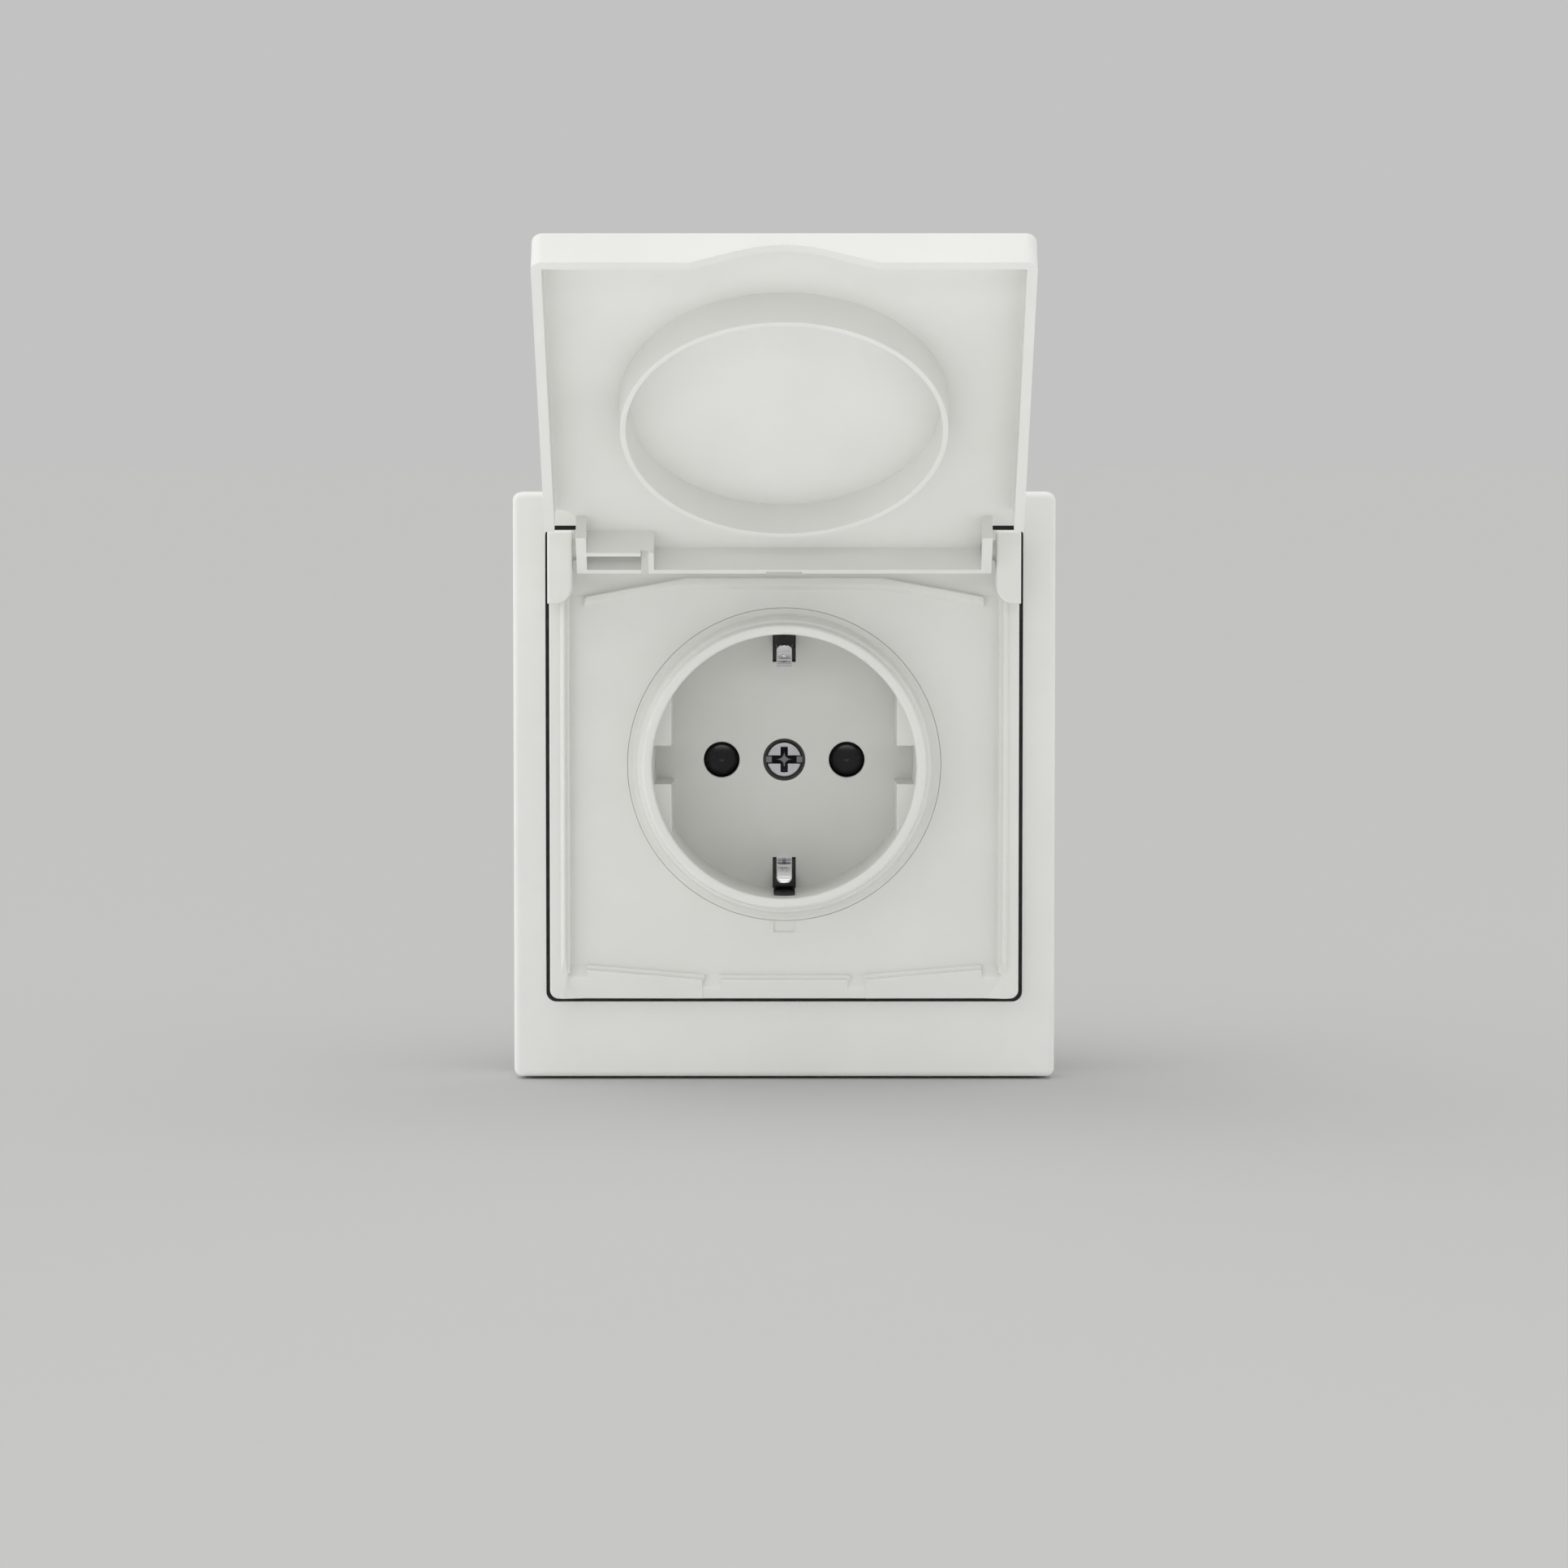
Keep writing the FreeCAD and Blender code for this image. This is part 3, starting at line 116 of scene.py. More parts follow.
# %% A socket that can be used in a formula
class Value:
    """A number socket in a node tree. Each operator adds one Math node."""

    def __init__(self, tree, socket):
        self.tree = tree
        self.socket = socket

    def maths(self, operation, first, second=0.0):
        return self.tree.add("ShaderNodeMath", {"operation": operation}, {0: first, 1: second})

    def __add__(self, other):
        return self.maths("ADD", self, other)

    def __radd__(self, other):
        return self.maths("ADD", other, self)

    def __sub__(self, other):
        return self.maths("SUBTRACT", self, other)

    def __rsub__(self, other):
        return self.maths("SUBTRACT", other, self)

    def __mul__(self, other):
        return self.maths("MULTIPLY", self, other)

    def __rmul__(self, other):
        return self.maths("MULTIPLY", other, self)

    def at_least(self, low):
        return self.maths("MAXIMUM", self, low)

    def at_most(self, high):
        return self.maths("MINIMUM", self, high)

    def unsigned(self):
        return self.maths("ABSOLUTE", self)

    def root(self):
        return self.maths("SQRT", self)

    def between(self, low, high):
        """0 below low, 1 above high, and a straight slope from one to the other."""
        inputs = {"Value": self, "From Min": low, "From Max": high}
        return self.tree.add("ShaderNodeMapRange", {"clamp": True}, inputs)


class Finish:
    """A new material and its node tree, or the tree of a world that is given."""

    def __init__(self, name, world=None):
        self.material = world or bpy.data.materials.new(name)
        self.material.use_nodes = True
        self.nodes = self.material.node_tree.nodes
        self.links = self.material.node_tree.links
        self.nodes.clear()
        self.place = self.add("ShaderNodeTexCoord", {}, {}, "Object")

    def add(self, kind, settings, inputs, output=0):
        """Add a node: its settings first, then the values or links of its inputs."""
        node = self.nodes.new(kind)
        for name, setting in settings.items():
            setattr(node, name, setting)
        for name, given in inputs.items():
            if isinstance(given, Value):
                self.links.new(given.socket, node.inputs[name])
            else:
                node.inputs[name].default_value = given
        return Value(self, node.outputs[output]) if node.outputs else None

    def noise(self, size_mm, detail=2.0, rough=0.5):
        """Smooth noise whose patches are about size_mm across, from 0 to 1."""
        scale = 1.0 / (size_mm * MM)
        inputs = {"Vector": self.place, "Scale": scale, "Detail": detail, "Roughness": rough}
        return self.add("ShaderNodeTexNoise", {}, inputs, "Fac")

    def along(self, axis):
        """One object coordinate, in millimetres."""
        place = self.add("ShaderNodeSeparateXYZ", {}, {"Vector": self.place}, axis)
        return place * (1.0 / MM)

    def mix(self, share, first, second):
        """A colour from first to second."""
        return self.add("ShaderNodeMix", {"data_type": "RGBA"}, {0: share, 6: first, 7: second}, 2)

    def bump(self, height, depth_mm, strength=1.0):
        """A normal from a height that runs from 0 to 1 over depth_mm."""
        inputs = {"Height": height, "Distance": depth_mm * MM, "Strength": strength}
        return self.add("ShaderNodeBump", {}, inputs)

    def shade(self, **inputs):
        """Close the material with a Principled shader; names use _ for spaces."""
        named = {key.replace("_", " "): given for key, given in inputs.items()}
        shader = self.add("ShaderNodeBsdfPrincipled", {}, named)
        self.add("ShaderNodeOutputMaterial", {}, {"Surface": shader})
        return self.material


def rgb(red, green, blue):
    """A colour as a shader wants it."""
    return (red, green, blue, 1.0)


# %% [markdown]
# ## White moulded plastic
#
# The covers are a hard white thermoplastic. Close up it isn't flat: the mould leaves a very
# fine even grain, and the plastic's flow leaves faint clouds that are a touch glossier. The
# grain goes to the bump, and the clouds go to the colour and the roughness. The base is the
# same kind of plastic in matt black, and the shutter in polished black.


# %% The plastics
PLASTIC_IOR = 1.46


def white_plastic(name, colour, grain_mm, rough):
    """Warm white plastic with a fine moulded grain."""
    finish = Finish(name)
    clouds = finish.noise(14.0, 3.0)
    grain = finish.noise(grain_mm, 2.0, 0.6)
    darker = rgb(*(c * 0.965 for c in colour))
    body = finish.mix(clouds.between(0.35, 0.7), darker, rgb(*colour))
    gloss = rough + (clouds - 0.5) * 0.10 + (grain - 0.5) * 0.06
    return finish.shade(Base_Color=body, Roughness=gloss, Normal=finish.bump(grain, 0.012, 0.5),
                        IOR=PLASTIC_IOR)


COVER_WHITE = (0.800, 0.800, 0.775)
INSERT_WHITE = (0.785, 0.785, 0.758)
cover_plastic = white_plastic("cover_plastic", COVER_WHITE, 0.28, 0.42)
insert_plastic = white_plastic("insert_plastic", INSERT_WHITE, 0.35, 0.36)


def base_plastic():
    """The matt black plastic of the base, which sits in the wall box."""
    finish = Finish("base_plastic_dressed")
    flow = finish.noise(9.0, 4.0)
    grain = finish.noise(0.5, 3.0)
    body = finish.mix(flow.between(0.3, 0.7), rgb(0.022, 0.022, 0.023), rgb(0.045, 0.045, 0.046))
    return finish.shade(Base_Color=body, Roughness=0.55 + (grain - 0.5) * 0.15,
                        Normal=finish.bump(grain, 0.03, 0.6))


def black_plastic():
    """The polished black plastic of the shutter."""
    finish = Finish("shutter_black")
    swirl = finish.noise(1.6, 3.0)
    body = finish.mix(swirl.between(0.3, 0.7), rgb(0.005, 0.005, 0.005), rgb(0.009, 0.009, 0.009))
    return finish.shade(Base_Color=body, Roughness=0.17 + (swirl - 0.5) * 0.04,
                        Normal=finish.bump(swirl, 0.004, 0.2), Specular_IOR_Level=0.30)


def seal_rubber(name, dark, dusty):
    """Soft rubber with a dusty bloom; dark and dusty are its two greys."""
    finish = Finish(name)
    bloom = finish.noise(2.5, 4.0)
    body = finish.mix(bloom.between(0.45, 0.8), rgb(dark, dark, dark), rgb(dusty, dusty, dusty))
    return finish.shade(Base_Color=body, Roughness=0.72 + (bloom - 0.5) * 0.2,
                        Normal=finish.bump(finish.noise(0.25, 2.0), 0.02, 0.6))


# %% [markdown]
# ## Metals
#
# The support ring is zinc plated, with soft grey patches. The clips, screws and rivets are
# bright nickel, drawn or turned, so fine lines run across them. The strap is the brightest,
# because its clips are polished. Contacts and clamps are stamped brass, a little darker where
# it has tarnished.
#
# Two places have a mark of their own, both painted shade. The slot and cross of the centre screw
# are painted dark as shade, lighter at the slot's ends and in a four-pointed star in the middle.
# And two soft darker bands are painted across each clip just in front of its bend, as its shade.


# %% The metals
def stretched_noise(finish, sizes_mm):
    """Noise with its own size along each axis, for drawn or rolled lines."""
    scale = tuple(1.0 / (s * MM) for s in sizes_mm)
    place = finish.add("ShaderNodeMapping", {}, {"Vector": finish.place, "Scale": scale})
    return finish.add("ShaderNodeTexNoise", {}, {"Vector": place, "Scale": 1.0, "Detail": 3.0}, "Fac")


def plated_steel(name, dark, bright, rough, lines_mm, relief_mm=0.008, extra=None):
    """Plated steel with patches of tone and fine lines; extra paints a mark over its colour."""
    finish = Finish(name)
    patches = finish.noise(4.0, 4.0)
    lines = stretched_noise(finish, lines_mm)
    body = finish.mix(patches.between(0.3, 0.75), rgb(*dark), rgb(*bright))
    if extra:
        body = extra(finish, body)
    gloss = rough + (lines - 0.5) * (rough * 0.5) + (patches - 0.5) * (rough * 0.3)
    return finish.shade(Base_Color=body, Metallic=1.0, Roughness=gloss,
                        Normal=finish.bump(lines, relief_mm, 0.4))


# Where the screw's painted shade changes, in millimetres: from the first number to the second
SCREW_FRONT = 1.05
WALL_DEPTH = (0.05, 0.16)
FLOOR_DEPTH = (0.36, 0.42)
SLOT_ENDS = (1.86, 1.94)
SLOT_FLOOR_HALF = (0.42, 0.50)
STAR_REACH = (1.05, 1.20)


def painted_recess_shade(finish, body):
    """Painted shade: the slot and cross go dark with depth, lighter at the slot's ends and the star. The
    star is where root x + root z is small.
    """
    depth = finish.along("Y") - SCREW_FRONT
    x, z = finish.along("X").unsigned(), finish.along("Z").unsigned()
    star = 1.0 - (x.root() + z.root()).between(*STAR_REACH)
    ends = x.between(*SLOT_ENDS) * (1.0 - z.between(*SLOT_FLOOR_HALF))
    less_shade = depth.between(*FLOOR_DEPTH) * star.at_least(ends)
    # Painted shade: near black with depth, and a lighter grey on the floor at the slot's ends and in the
    # star
    dark = finish.mix(depth.between(*WALL_DEPTH), body, rgb(0.012, 0.012, 0.012))
    return finish.mix(less_shade, dark, rgb(0.24, 0.24, 0.25))


# The bands' heights above or below the cup's middle, their soft edge, and where the bend begins
BAND_HEIGHTS = (14.65, 15.00)
BAND_EDGE = (0.03, 0.13)
CLIP_BEND = (-5.6, -5.2)


def bend_shade_bands(finish, body):
    """Two soft bands of painted shade across each clip, in front of its bend."""
    height = finish.along("Z").unsigned()
    first, second = [1.0 - (height - middle).unsigned().between(*BAND_EDGE)
                     for middle in BAND_HEIGHTS]
    front = 1.0 - finish.along("Y").between(*CLIP_BEND)
    # Painted shade: the bands darken the clip's colour at its bend
    return finish.mix((first + second) * front, body, rgb(0.46, 0.46, 0.48))


def stamped_brass():
    """Stamped brass with a faint tarnish."""
    finish = Finish("contact_brass_dressed")
    tarnish = finish.noise(3.0, 4.0)
    lines = stretched_noise(finish, (0.3, 4.0, 0.3))
    body = finish.mix(tarnish.between(0.4, 0.8), rgb(0.72, 0.52, 0.22), rgb(0.48, 0.33, 0.14))
    return finish.shade(Base_Color=body, Metallic=1.0, Roughness=0.28 + (lines - 0.5) * 0.2,
                        Normal=finish.bump(lines, 0.01, 0.4))


zinc = plated_steel("zinc_plate", (0.42, 0.42, 0.42), (0.60, 0.60, 0.60), 0.36, (6.0, 0.4, 0.4))
nickel = plated_steel("nickel_plate", (0.58, 0.58, 0.60), (0.70, 0.70, 0.72), 0.22,
                      (0.15, 2.0, 2.0), relief_mm=0.004)
screw_metal = plated_steel("screw_nickel", (0.62, 0.62, 0.65), (0.70, 0.70, 0.73), 0.24,
                           (2.0, 2.0, 0.2), relief_mm=0.002, extra=painted_recess_shade)
clip_metal = plated_steel("clip_nickel", (0.86, 0.86, 0.89), (0.93, 0.93, 0.96), 0.11,
                          (0.2, 3.0, 3.0), relief_mm=0.0005, extra=bend_shade_bands)
wire = plated_steel("spring_wire", (0.40, 0.41, 0.43), (0.55, 0.56, 0.58), 0.26, (0.2, 0.2, 0.2))

# %% Dress the CAD nodes
RUBBER = seal_rubber("seal_rubber_dressed", 0.020, 0.055)
WASHER_RUBBER = seal_rubber("washer_rubber", 0.13, 0.17)
NODE_FINISH = {
    "frame": cover_plastic, "lid": cover_plastic, "hinge_pin_left": cover_plastic,
    "hinge_pin_right": cover_plastic, "cover_plate": insert_plastic, "socket_cup": insert_plastic,
    "wall_seal": RUBBER, "insert_seal": RUBBER, "screw_seal": WASHER_RUBBER, "shutter": black_plastic(),
    "shutter_spring": wire, "centre_screw": screw_metal, "earth_strap": nickel,
    "support_ring": zinc, "ring_rivets": nickel, "cover_rivets": nickel,
}
BASE = base_plastic()
BRASS = stamped_brass()


def finish_for(node):
    """The finish of a node that has none of its own in the list above."""
    if node.startswith("base"):
        return BASE
    if node.startswith("terminal_screw"):
        return nickel
    return BRASS


for name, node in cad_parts.items():
    finish = NODE_FINISH.get(name) or finish_for(name)
    for index in range(len(node.material_slots)):
        node.material_slots[index].material = finish
print("dressed", len(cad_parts), "nodes")

# %% [markdown]
# ## Surfaces from arrays
#
# The small metal pieces are where a plain solid looks most like a drawing: stamped strip has
# soft edges and even bends, and a turned head has a rim. Each of them is a sheet of points
# with a row and a column for its two parameters. Worked out as whole arrays the sheet costs
# nothing, and one helper joins its points into faces.


# %% From a sheet of points to a piece
SAME_POINT = 0.0005 * MM


def sheet_faces(rows, columns, ring):
    """Quads between neighbouring points; with ring, the last column joins the first."""
    across = columns if ring else columns - 1
    row, column = np.meshgrid(np.arange(rows - 1), np.arange(across), indexing="ij")
    here = row * columns + column
    beside = row * columns + (column + 1) % columns
    return np.stack([here, beside, beside + columns, here + columns], axis=-1).reshape(-1, 4)


def merge_and_face_outwards(mesh):
    """Close the poles and seams, and turn every face outwards."""
    work = bmesh.new()
    work.from_mesh(mesh)
    bmesh.ops.remove_doubles(work, verts=work.verts, dist=SAME_POINT)
    bmesh.ops.recalc_face_normals(work, faces=work.faces)
    work.to_mesh(mesh)
    work.free()


def new_piece(name, points, faces, material, body, sharp_deg=35.0):
    """A mesh piece from points in millimetres, smooth except at edges sharper than sharp_deg."""
    mesh = bpy.data.meshes.new(name)
    mesh.from_pydata((points.reshape(-1, 3) * MM).tolist(), [], faces.tolist())
    mesh.validate()
    merge_and_face_outwards(mesh)
    mesh.shade_smooth()
    mesh.set_sharp_from_angle(angle=math.radians(sharp_deg))
    mesh.materials.append(material)
    piece = bpy.data.objects.new(name, mesh)
    bpy.context.scene.collection.objects.link(piece)
    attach(piece, body)
    return piece


def turned_sheet(profile, turns=96):
    """A profile of (radius, depth) rows carried round the Y axis: x = r cos a, z = r sin a."""
    angle = np.linspace(0.0, 2 * np.pi, turns, endpoint=False)
    radius, depth = np.asarray(profile, float).T
    x = radius[:, None] * np.cos(angle)
    z = radius[:, None] * np.sin(angle)
    y = np.repeat(depth[:, None], turns, axis=1)
    return np.stack([x, y, z], axis=-1)


def soften(points, rounds=3):
    """Corner cutting: each run keeps its points at one and three quarters, and both ends stay."""
    line = np.asarray(points, float)
    for _ in range(rounds):
        near = line[:-1] * 0.75 + line[1:] * 0.25
        far = line[:-1] * 0.25 + line[1:] * 0.75
        middle = np.stack([near, far], axis=1).reshape(-1, line.shape[1])
        line = np.vstack([line[:1], middle, line[-1:]])
    return line


# %% [markdown]
# ## The centre screw
#
# Its head takes a flat blade or a cross blade, so a wide slot runs through the rim and a deeper
# cross sits in the middle. A boolean would leave razor edges. Here the head is one turned
# sheet, and every point of its face is pushed back by a smooth step wherever it lies inside
# the slot or the cross.

# %% The screw heads
SCREW_COLUMNS = 288


def smooth_step(value, low, high):
    """0 below low, 1 above high, and 3t^2 - 2t^3 between."""
    t = np.clip((value - low) / (high - low), 0.0, 1.0)
    return t * t * (3.0 - 2.0 * t)


def inside_bar(x, z, half_length, half_width, edge):
    """1 inside a bar along x and 0 outside, with an edge that is a smooth step wide."""
    across = 1.0 - smooth_step(np.abs(z), half_width - edge, half_width + edge)
    along = 1.0 - smooth_step(np.abs(x), half_length - edge, half_length + edge)
    return across * along


def head_profile(head_r, rim, front, back, shank_r, end):
    """Rows from the middle of the face over the rim and down the shank, and how many are face."""
    face = [(r, front) for r in np.linspace(0.0, head_r - rim, 70)]
    bevel = [(head_r - rim + rim * t, front + rim * (t * t + t) / 2) for t in np.linspace(0.12, 1.0, 9)]
    side = [(head_r, y) for y in np.linspace(front + rim, back, 6)[1:]]
    under = [(r, back) for r in np.linspace(head_r, shank_r, 4)[1:]]
    shank = [(shank_r, y) for y in np.linspace(back, end - 0.4, 24)[1:]]
    tip = [(shank_r * 0.7, end), (0.0, end)]
    return face + bevel + side + under + shank + tip, len(face) + len(bevel)


def cut_head(sheet, rows, front, slot, cross):
    """Push the face back: slot is (half width, depth), cross is (half length, half width, depth)."""
    x, z = sheet[:rows, :, 0], sheet[:rows, :, 2]
    depth = front + slot[1] * inside_bar(x, z, 99.0, slot[0], 0.035)
    if cross:
        # The cross is deepest in the middle and a third shallower at the ends of its arms
        flat = inside_bar(x, z, cross[0], cross[1], 0.05)
        upright = inside_bar(z, x, cross[0], cross[1], 0.05)
        arms = np.maximum(flat, upright)
        reach = np.hypot(x, z) / cross[0]
        shallower = 1.0 - 0.35 * smooth_step(reach, 0.35, 1.0)
        depth = np.maximum(depth, front + arms * cross[2] * shallower)
    sheet[:rows, :, 1] = np.maximum(sheet[:rows, :, 1], depth)
    return sheet


def screw_sheet(middle, head_r, rim, front, back, shank_r, end, slot, cross=None):
    """A whole screw about the line through middle (x, z)."""
    profile, rows = head_profile(head_r, rim, front, back, shank_r, end)
    sheet = cut_head(turned_sheet(profile, SCREW_COLUMNS), rows, front, slot, cross)
    return sheet + np.array([middle[0], 0.0, middle[1]])


def node_span(node):
    """The lowest and highest corners of a CAD node, in millimetres."""
    low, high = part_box(node)
    return np.array(low) / MM, np.array(high) / MM


low, high = node_span("centre_screw")
centre = screw_sheet(middle=(0, 0), head_r=high[0], rim=0.3, front=low[1], back=low[1] + 0.95,
                     shank_r=1.6, end=high[1], slot=(0.60, 0.45), cross=(1.9, 0.50, 0.75))
piece = new_piece("centre_screw_turned", centre, sheet_faces(*centre.shape[:2], True), screw_metal,
                  "socket", 50)
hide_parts("centre_screw")

for side in ("line", "neutral", "earth"):
    node = "terminal_screw_" + side
    low, high = node_span(node)
    middle = (low + high) / 2
    screw = screw_sheet(middle=(middle[0], middle[2]), head_r=(high[0] - low[0]) / 2, rim=0.25,
                        front=low[1], back=low[1] + 1.6, shank_r=1.55, end=high[1], slot=(0.4, 0.6))
    piece = new_piece(node + "_turned", screw, sheet_faces(*screw.shape[:2], True), nickel,
                      "socket", 50)
    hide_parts(node)
print("turned four screws")

# %% [markdown]
# ## The earth strap and its sprung clips
#
# One stamped strip makes both earth clips: it runs across the back of the base and forward
# through both sides, and each end is bent inwards and out again so that it springs on a plug.
# The strip's middle line is a path in the upright plane. A rounded oblong is carried along it,
# always square to the path. At each end its width falls to nothing along a half circle, and
# its thickness to a quarter, as a coined tip has it.


# %% A stamped strip carried along a path
def oblong(half_width, half_thick, corner, steps=6):
    """A rounded oblong as (across, through) points, one quarter circle at each corner."""
    turn = np.linspace(0.0, np.pi / 2, steps)
    quarter = np.stack([np.cos(turn), np.sin(turn)], axis=-1) * corner
    middle = np.array([half_width - corner, half_thick - corner])
    signs = ((1, 1), (-1, 1), (-1, -1), (1, -1))
    parts = []
    for index, sign in enumerate(signs):
        arc = quarter if index % 2 == 0 else quarter[::-1]
        parts.append((arc + middle) * np.array(sign))
    return np.vstack(parts)


def path_lengths(path):
    """The length along the path up to each of its points."""
    return np.concatenate([[0.0], np.cumsum(np.linalg.norm(np.diff(path, axis=0), axis=1))])


def close_rows_at_tips(path, half_width, count=16):
    """The path with more points at both tips, at half_width (1 - cos t), to make them round."""
    length = path_lengths(path)
    near = half_width * (1.0 - np.cos(np.linspace(0.0, np.pi / 2, count)))
    past_tip = half_width * 1.02
    between = length[(length > past_tip) & (length < length[-1] - past_tip)]
    stations = np.concatenate([near, between, length[-1] - near[::-1]])
    return np.stack([np.interp(stations, length, path[:, axis]) for axis in (0, 1)], axis=-1)


def strip_sheet(path, half_width, thick, corner, wide=None):
    """A strip in the plane x = 0: path holds (y, z) points; each section stands square to it."""
    path = close_rows_at_tips(path, half_width)
    run = np.gradient(path, axis=0)
    run /= np.linalg.norm(run, axis=1, keepdims=True)
    normal = np.stack([-run[:, 1], run[:, 0]], axis=-1)
    length = path_lengths(path)
    from_end = np.minimum(length, length[-1] - length)
    inward = np.clip(from_end / half_width, 0.0, 1.0)
    round_end = np.sqrt(np.clip(1.0 - (1.0 - inward) ** 2, 0.0, 1.0))
    width = half_width * np.maximum(round_end, 0.02)
    if wide:
        # The strip widens on the back: wide is (extra width, half length of the wide run)
        along = np.abs(length - length[-1] / 2)
        width = width + wide[0] * (1.0 - smooth_step(along, wide[1] - 1.5, wide[1]))
    section = oblong(1.0, thick / 2, min(corner, thick / 2 - 0.01))
    x = width[:, None] * section[None, :, 0]
    # The tips are coined: the thickness falls with the half circle, down to a quarter
    through = (0.25 + 0.75 * round_end)[:, None] * section[None, :, 1]
    centre_line = path[:, None, :] + normal[:, None, :] * through[..., None]
    return np.stack([x, centre_line[..., 0], centre_line[..., 1]], axis=-1)


def close_ends(sheet):
    """Add the middle of the first and last section as a pole at each end."""
    first = np.repeat(sheet[:1].mean(axis=1, keepdims=True), sheet.shape[1], axis=1)
    last = np.repeat(sheet[-1:].mean(axis=1, keepdims=True), sheet.shape[1], axis=1)
    return np.concatenate([first, sheet, last], axis=0)


def strap_path():
    """The strap's middle line from one tip to the other, bends softened."""
    back = 22.3
    leg = [(-10.9, 17.9), (-9.35, 15.95), (-6.9, 14.75), (-6.2, 14.40), (-5.4, 14.50), (-4.4, 15.10),
           (-1.8, 16.9), (0.2, 17.0), (9.0, 17.0), (back - 0.9, 17.0), (back, 16.1), (back, 8.0)]
    half = np.array(leg)
    other = half[::-1] * np.array([1.0, -1.0])
    return soften(np.vstack([half, [[back, 0.0]], other]), 3)


def print_span(title, sheet):
    """The sheet's lowest and highest corners, in millimetres."""
    points = sheet.reshape(-1, 3)
    print(title, "from", points.min(0).round(2), "to", points.max(0).round(2))


strip = strip_sheet(strap_path(), half_width=1.15, thick=0.6, corner=0.16, wide=(1.35, 15.2))
strap = close_ends(strip)
piece = new_piece("earth_strap_bent", strap, sheet_faces(*strap.shape[:2], True), clip_metal,
                  "socket", 50)
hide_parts("earth_strap")
print_span("strap", strap)


# %% The tab to the earth clamp
def slab_sheet(low, high, edge, count=5):
    """A slab with soft edges: its sections along y are oblongs, drawn in near both faces."""
    centre = (low + high) / 2
    half = (high - low) / 2
    turn = np.linspace(0.0, np.pi / 2, count)
    draw_in = edge * (1 - np.sin(turn))
    step_back = edge * (1 - np.cos(turn))
    inset = np.concatenate([draw_in, draw_in[::-1]])
    depth = np.concatenate([low[1] + step_back, high[1] - step_back[::-1]])
    rows = []
    for narrower, y in zip(inset, depth):
        ring = oblong(half[0] - narrower, half[2] - narrower, 0.3)
        x, z = ring[:, 0] + centre[0], ring[:, 1] + centre[2]
        rows.append(np.stack([x, np.full(len(ring), y), z], axis=-1))
    return close_ends(np.array(rows))


TAB_LOW = np.array([-1.15, 17.05, -17.3])
TAB_HIGH = np.array([12.0, 17.75, -15.2])
tab = slab_sheet(TAB_LOW, TAB_HIGH, 0.12)
piece = new_piece("earth_strap_tab", tab, sheet_faces(*tab.shape[:2], True), nickel, "socket", 50)

# %% [markdown]
# ## Behind the clips
#
# Each clip slot is dark all the way back. A small softened black slab stands behind each clip:
# partly the black base, which closes the slot there, and partly painted shade for the dark slot.
# It stands between the strap's leg and the liner of the groove and touches neither: it is about 0.1 mm
# off the strap and 0.6 mm off the liner.

# %% The bridge behind each clip
BRIDGE_HALF = 1.50
BRIDGE_FRONT = -0.6
BRIDGE_BACK = 0.1
BRIDGE_HEIGHTS = (17.40, 19.2)
# Each slab is black plastic behind the clip: partly the base, partly painted shade in the slot
for side, name in ((1.0, "clip_bridge_upper"), (-1.0, "clip_bridge_lower")):
    ends = sorted(side * height for height in BRIDGE_HEIGHTS)
    bridge = slab_sheet(np.array([-BRIDGE_HALF, BRIDGE_FRONT, ends[0]]),
                        np.array([BRIDGE_HALF, BRIDGE_BACK, ends[1]]), 0.08)
    piece = new_piece(name, bridge, sheet_faces(*bridge.shape[:2], True), BASE, "socket")
print("closed both clip slots")

# %% [markdown]
# ## Rivets and the shutter's spring
#
# A rivet's head is a low dome, which a profile with a quarter of an ellipse gives. The spring
# is a helix: its centre goes round the hub while its depth grows evenly with the angle, and a
# small circle is carried along it.


# %% Domed rivets
def rivet_sheet(x, z, head_y, shank_y, head_r=1.45, head=0.8, shank_r=1.0):
    """A rivet along Y. The dome is radius = R cos t, height = H sin t for t from 90 to 0 degrees."""
    way = 1.0 if shank_y > head_y else -1.0
    turn = np.linspace(np.pi / 2, 0.0, 14)
    dome = [(head_r * math.cos(t), head_y - way * head * math.sin(t)) for t in turn]
    profile = dome + [(shank_r, head_y), (shank_r, shank_y), (0.0, shank_y)]
    return turned_sheet(profile, 40) + np.array([x, 0.0, z])


def join_sheets(sheets):
    """Several sheets of one size as a single set of points and faces."""
    faces = sheet_faces(*sheets[0].shape[:2], True)
    count = sheets[0].shape[0] * sheets[0].shape[1]
    points = np.concatenate([s.reshape(-1, 3) for s in sheets])
    return points, np.concatenate([faces + i * count for i in range(len(sheets))])


RING_RIVETS_R = 23.35
COVER_RIVETS_X = (-20.0, 20.0)
COVER_RIVETS_Z = -4.0


def ring_places():
    """The four rivets of the support ring, on the diagonals."""
    angle = np.radians([45, 135, 225, 315])
    return np.stack([np.cos(angle), np.sin(angle)], axis=-1) * RING_RIVETS_R


points, faces = join_sheets([rivet_sheet(x, z, head_y=-1.0, shank_y=3.0)
                             for x, z in ring_places()])
piece = new_piece("ring_rivets_domed", points, faces, nickel, "socket")
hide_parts("ring_rivets")
points, faces = join_sheets([rivet_sheet(x, COVER_RIVETS_Z, head_y=22.0, shank_y=14.3)
                             for x in COVER_RIVETS_X])
piece = new_piece("cover_rivets_domed", points, faces, nickel, "socket")
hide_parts("cover_rivets")


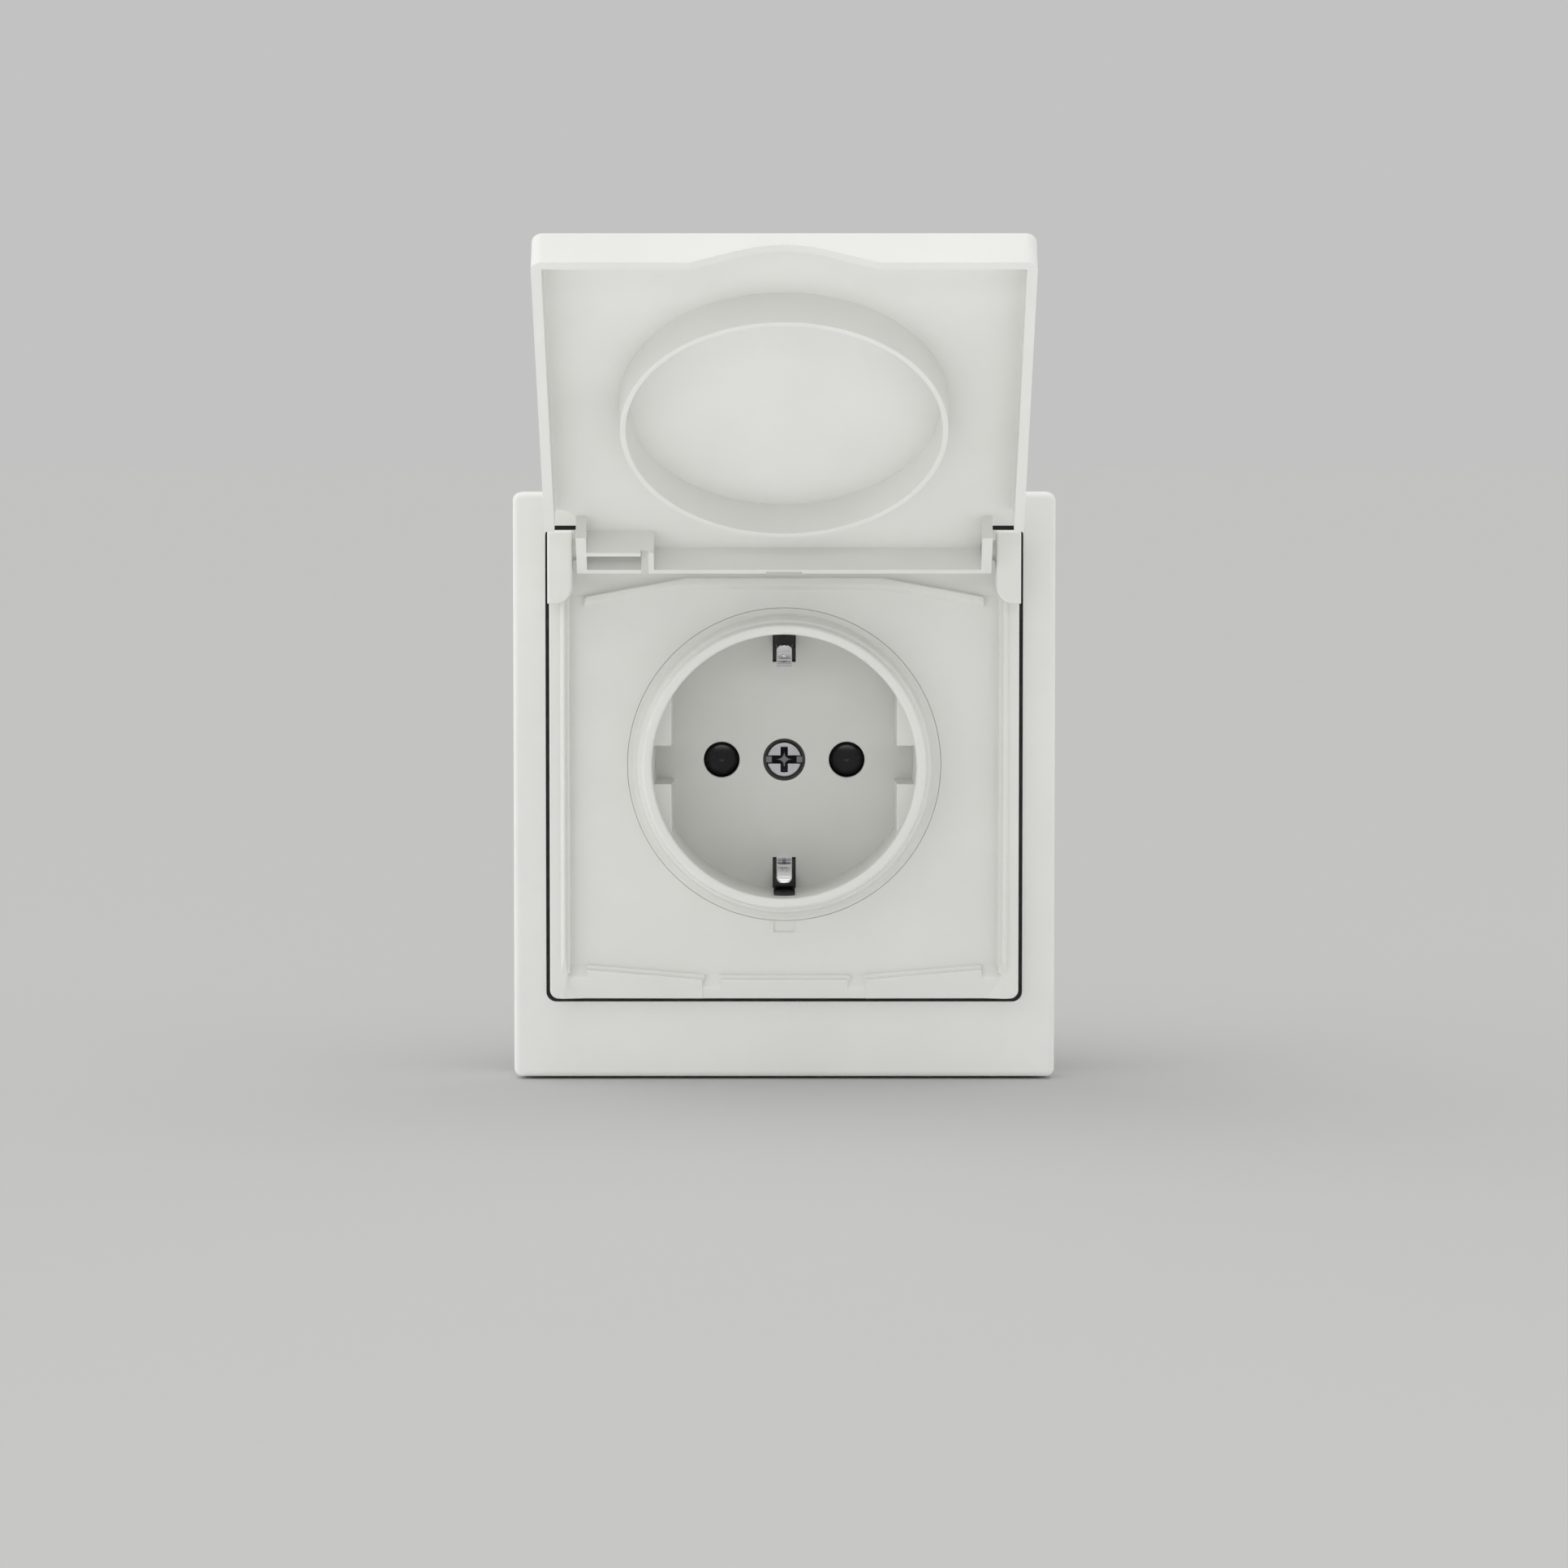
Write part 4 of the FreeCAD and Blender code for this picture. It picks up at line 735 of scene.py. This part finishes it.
# %% The shutter's spring
def helix_sheet(radius, wire_r, start_y, pitch, turns):
    """A coil about the Y axis, with a small circle carried along it."""
    angle = np.linspace(0.0, 2 * np.pi * turns, 48 * turns + 1)[:, None]
    around = np.linspace(0.0, 2 * np.pi, 12, endpoint=False)[None, :]
    reach = radius + wire_r * np.cos(around)
    x = reach * np.cos(angle)
    z = reach * np.sin(angle)
    y = start_y + pitch * angle / (2 * np.pi) + wire_r * np.sin(around)
    return close_ends(np.stack([x, y, z], axis=-1))


WIRE_R = 0.16
COIL_PITCH = 0.42
low, high = node_span("shutter_spring")
coil = helix_sheet((high[0] - low[0]) / 2 - WIRE_R, WIRE_R, low[1] + WIRE_R, COIL_PITCH, turns=2)
piece = new_piece("shutter_spring_coil", coil, sheet_faces(*coil.shape[:2], True), wire, "socket")
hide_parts("shutter_spring")
print_span("coil", coil)
print("its CAD node from", low.round(2), "to", high.round(2))

# %% [markdown]
# ## Floor, world and lamps
#
# The photograph's light is soft and comes from wide places: from overhead, from the left, less
# from the right, and back up from the ground, which lights the inside of the lid. So the world
# grows brighter towards the top and both sides, by the height and the side of each direction,
# and a white floor sends that light up. The level is plain, so a colour renders about as it is
# written. Seen by the camera and in reflections, the floor is a deeper paint that keeps its
# shadow, and the world has that floor's tone up to the height a camera sees, so that the two
# meet without a line and the white object stands out. One weak strip lamp gives the polished
# black shutter its highlight.


# %% Floor and world
FLOOR_DROP = 0.4 * MM
FLOOR_REACH = 9.0
FLOOR_WHITE = 0.90
FLOOR_SEEN = 0.49
WORLD_OVERHEAD = 1.60
WORLD_LEFT = 1.70
WORLD_RIGHT = 1.00
BACKDROP_TONE = 0.54
WHITE_ABOVE = (0.25, 0.8)


def seen_or_mirrored(finish):
    """1 for rays from the camera, in reflections and through glass, and 0 for soft light."""
    kinds = [finish.add("ShaderNodeLightPath", {}, {}, "Is " + kind + " Ray")
             for kind in ("Camera", "Glossy", "Transmission")]
    return (kinds[0] + kinds[1] + kinds[2]).at_most(1.0)


def floor_paint():
    """Two plain paints: a pale grey where the floor is seen, and white for the light it sends up."""
    finish = Finish("floor_paint")
    white, grey = [finish.add("ShaderNodeBsdfDiffuse", {}, {"Color": rgb(level, level, level)})
                   for level in (FLOOR_WHITE, FLOOR_SEEN)]
    either = finish.add("ShaderNodeMixShader", {}, {0: seen_or_mirrored(finish), 1: white, 2: grey})
    finish.add("ShaderNodeOutputMaterial", {}, {"Surface": either})
    return finish.material


def make_floor():
    """A wide pale floor just under the frame's lower edge."""
    z = cad_low.z - FLOOR_DROP
    corners = np.array([[-1, -1, 0], [1, -1, 0], [1, 1, 0], [-1, 1, 0]], float) * FLOOR_REACH
    corners[:, 2] = z
    mesh = bpy.data.meshes.new("studio_floor")
    mesh.from_pydata(corners.tolist(), [], [(0, 1, 2, 3)])
    floor = bpy.data.objects.new("studio_floor", mesh)
    bpy.context.scene.collection.objects.link(floor)
    mesh.materials.append(floor_paint())


def make_world():
    """Soft light from overhead and both sides, and the floor's tone where the world is seen."""
    world = bpy.data.worlds.new("studio_world")
    sky = Finish("studio_world", world)
    way = sky.add("ShaderNodeTexCoord", {}, {}, "Generated")
    x, z = [sky.add("ShaderNodeSeparateXYZ", {}, {"Vector": way}, axis) for axis in "XZ"]
    left, right, up = (x * -1.0).at_least(0.0), x.at_least(0.0), z.at_least(0.0)
    level = up * up * up * up * WORLD_OVERHEAD + left * WORLD_LEFT + right * WORLD_RIGHT
    light = sky.add("ShaderNodeBackground", {}, {"Color": rgb(1.0, 1.0, 0.99), "Strength": level})
    tone = BACKDROP_TONE + z.between(*WHITE_ABOVE) * (1.0 - BACKDROP_TONE)
    seen = sky.add("ShaderNodeBackground", {}, {"Color": rgb(1.0, 1.0, 1.0), "Strength": tone})
    either = sky.add("ShaderNodeMixShader", {}, {0: seen_or_mirrored(sky), 1: light, 2: seen})
    sky.add("ShaderNodeOutputWorld", {}, {"Surface": either})
    bpy.context.scene.world = world


make_floor()
make_world()

# %% The strip lamp
STRIP_UP = math.radians(19.0)
STRIP_AWAY = 1.0
STRIP_LONG = 0.62
STRIP_HIGH = 0.09
STRIP_WATTS = 0.6


def make_strip_lamp():
    """One weak, wide lamp from the front and above, mirrored high on each shutter disc."""
    data = bpy.data.lights.new("strip_lamp", "AREA")
    data.shape = "RECTANGLE"
    data.size = STRIP_LONG
    data.size_y = STRIP_HIGH
    data.energy = STRIP_WATTS
    lamp = bpy.data.objects.new("strip_lamp", data)
    lamp.location = Vector((0.0, -math.cos(STRIP_UP), math.sin(STRIP_UP))) * STRIP_AWAY
    lamp.rotation_euler = (math.pi / 2 - STRIP_UP, 0.0, 0.0)
    bpy.context.scene.collection.objects.link(lamp)


make_strip_lamp()
bpy.context.scene.view_settings.view_transform = "Standard"
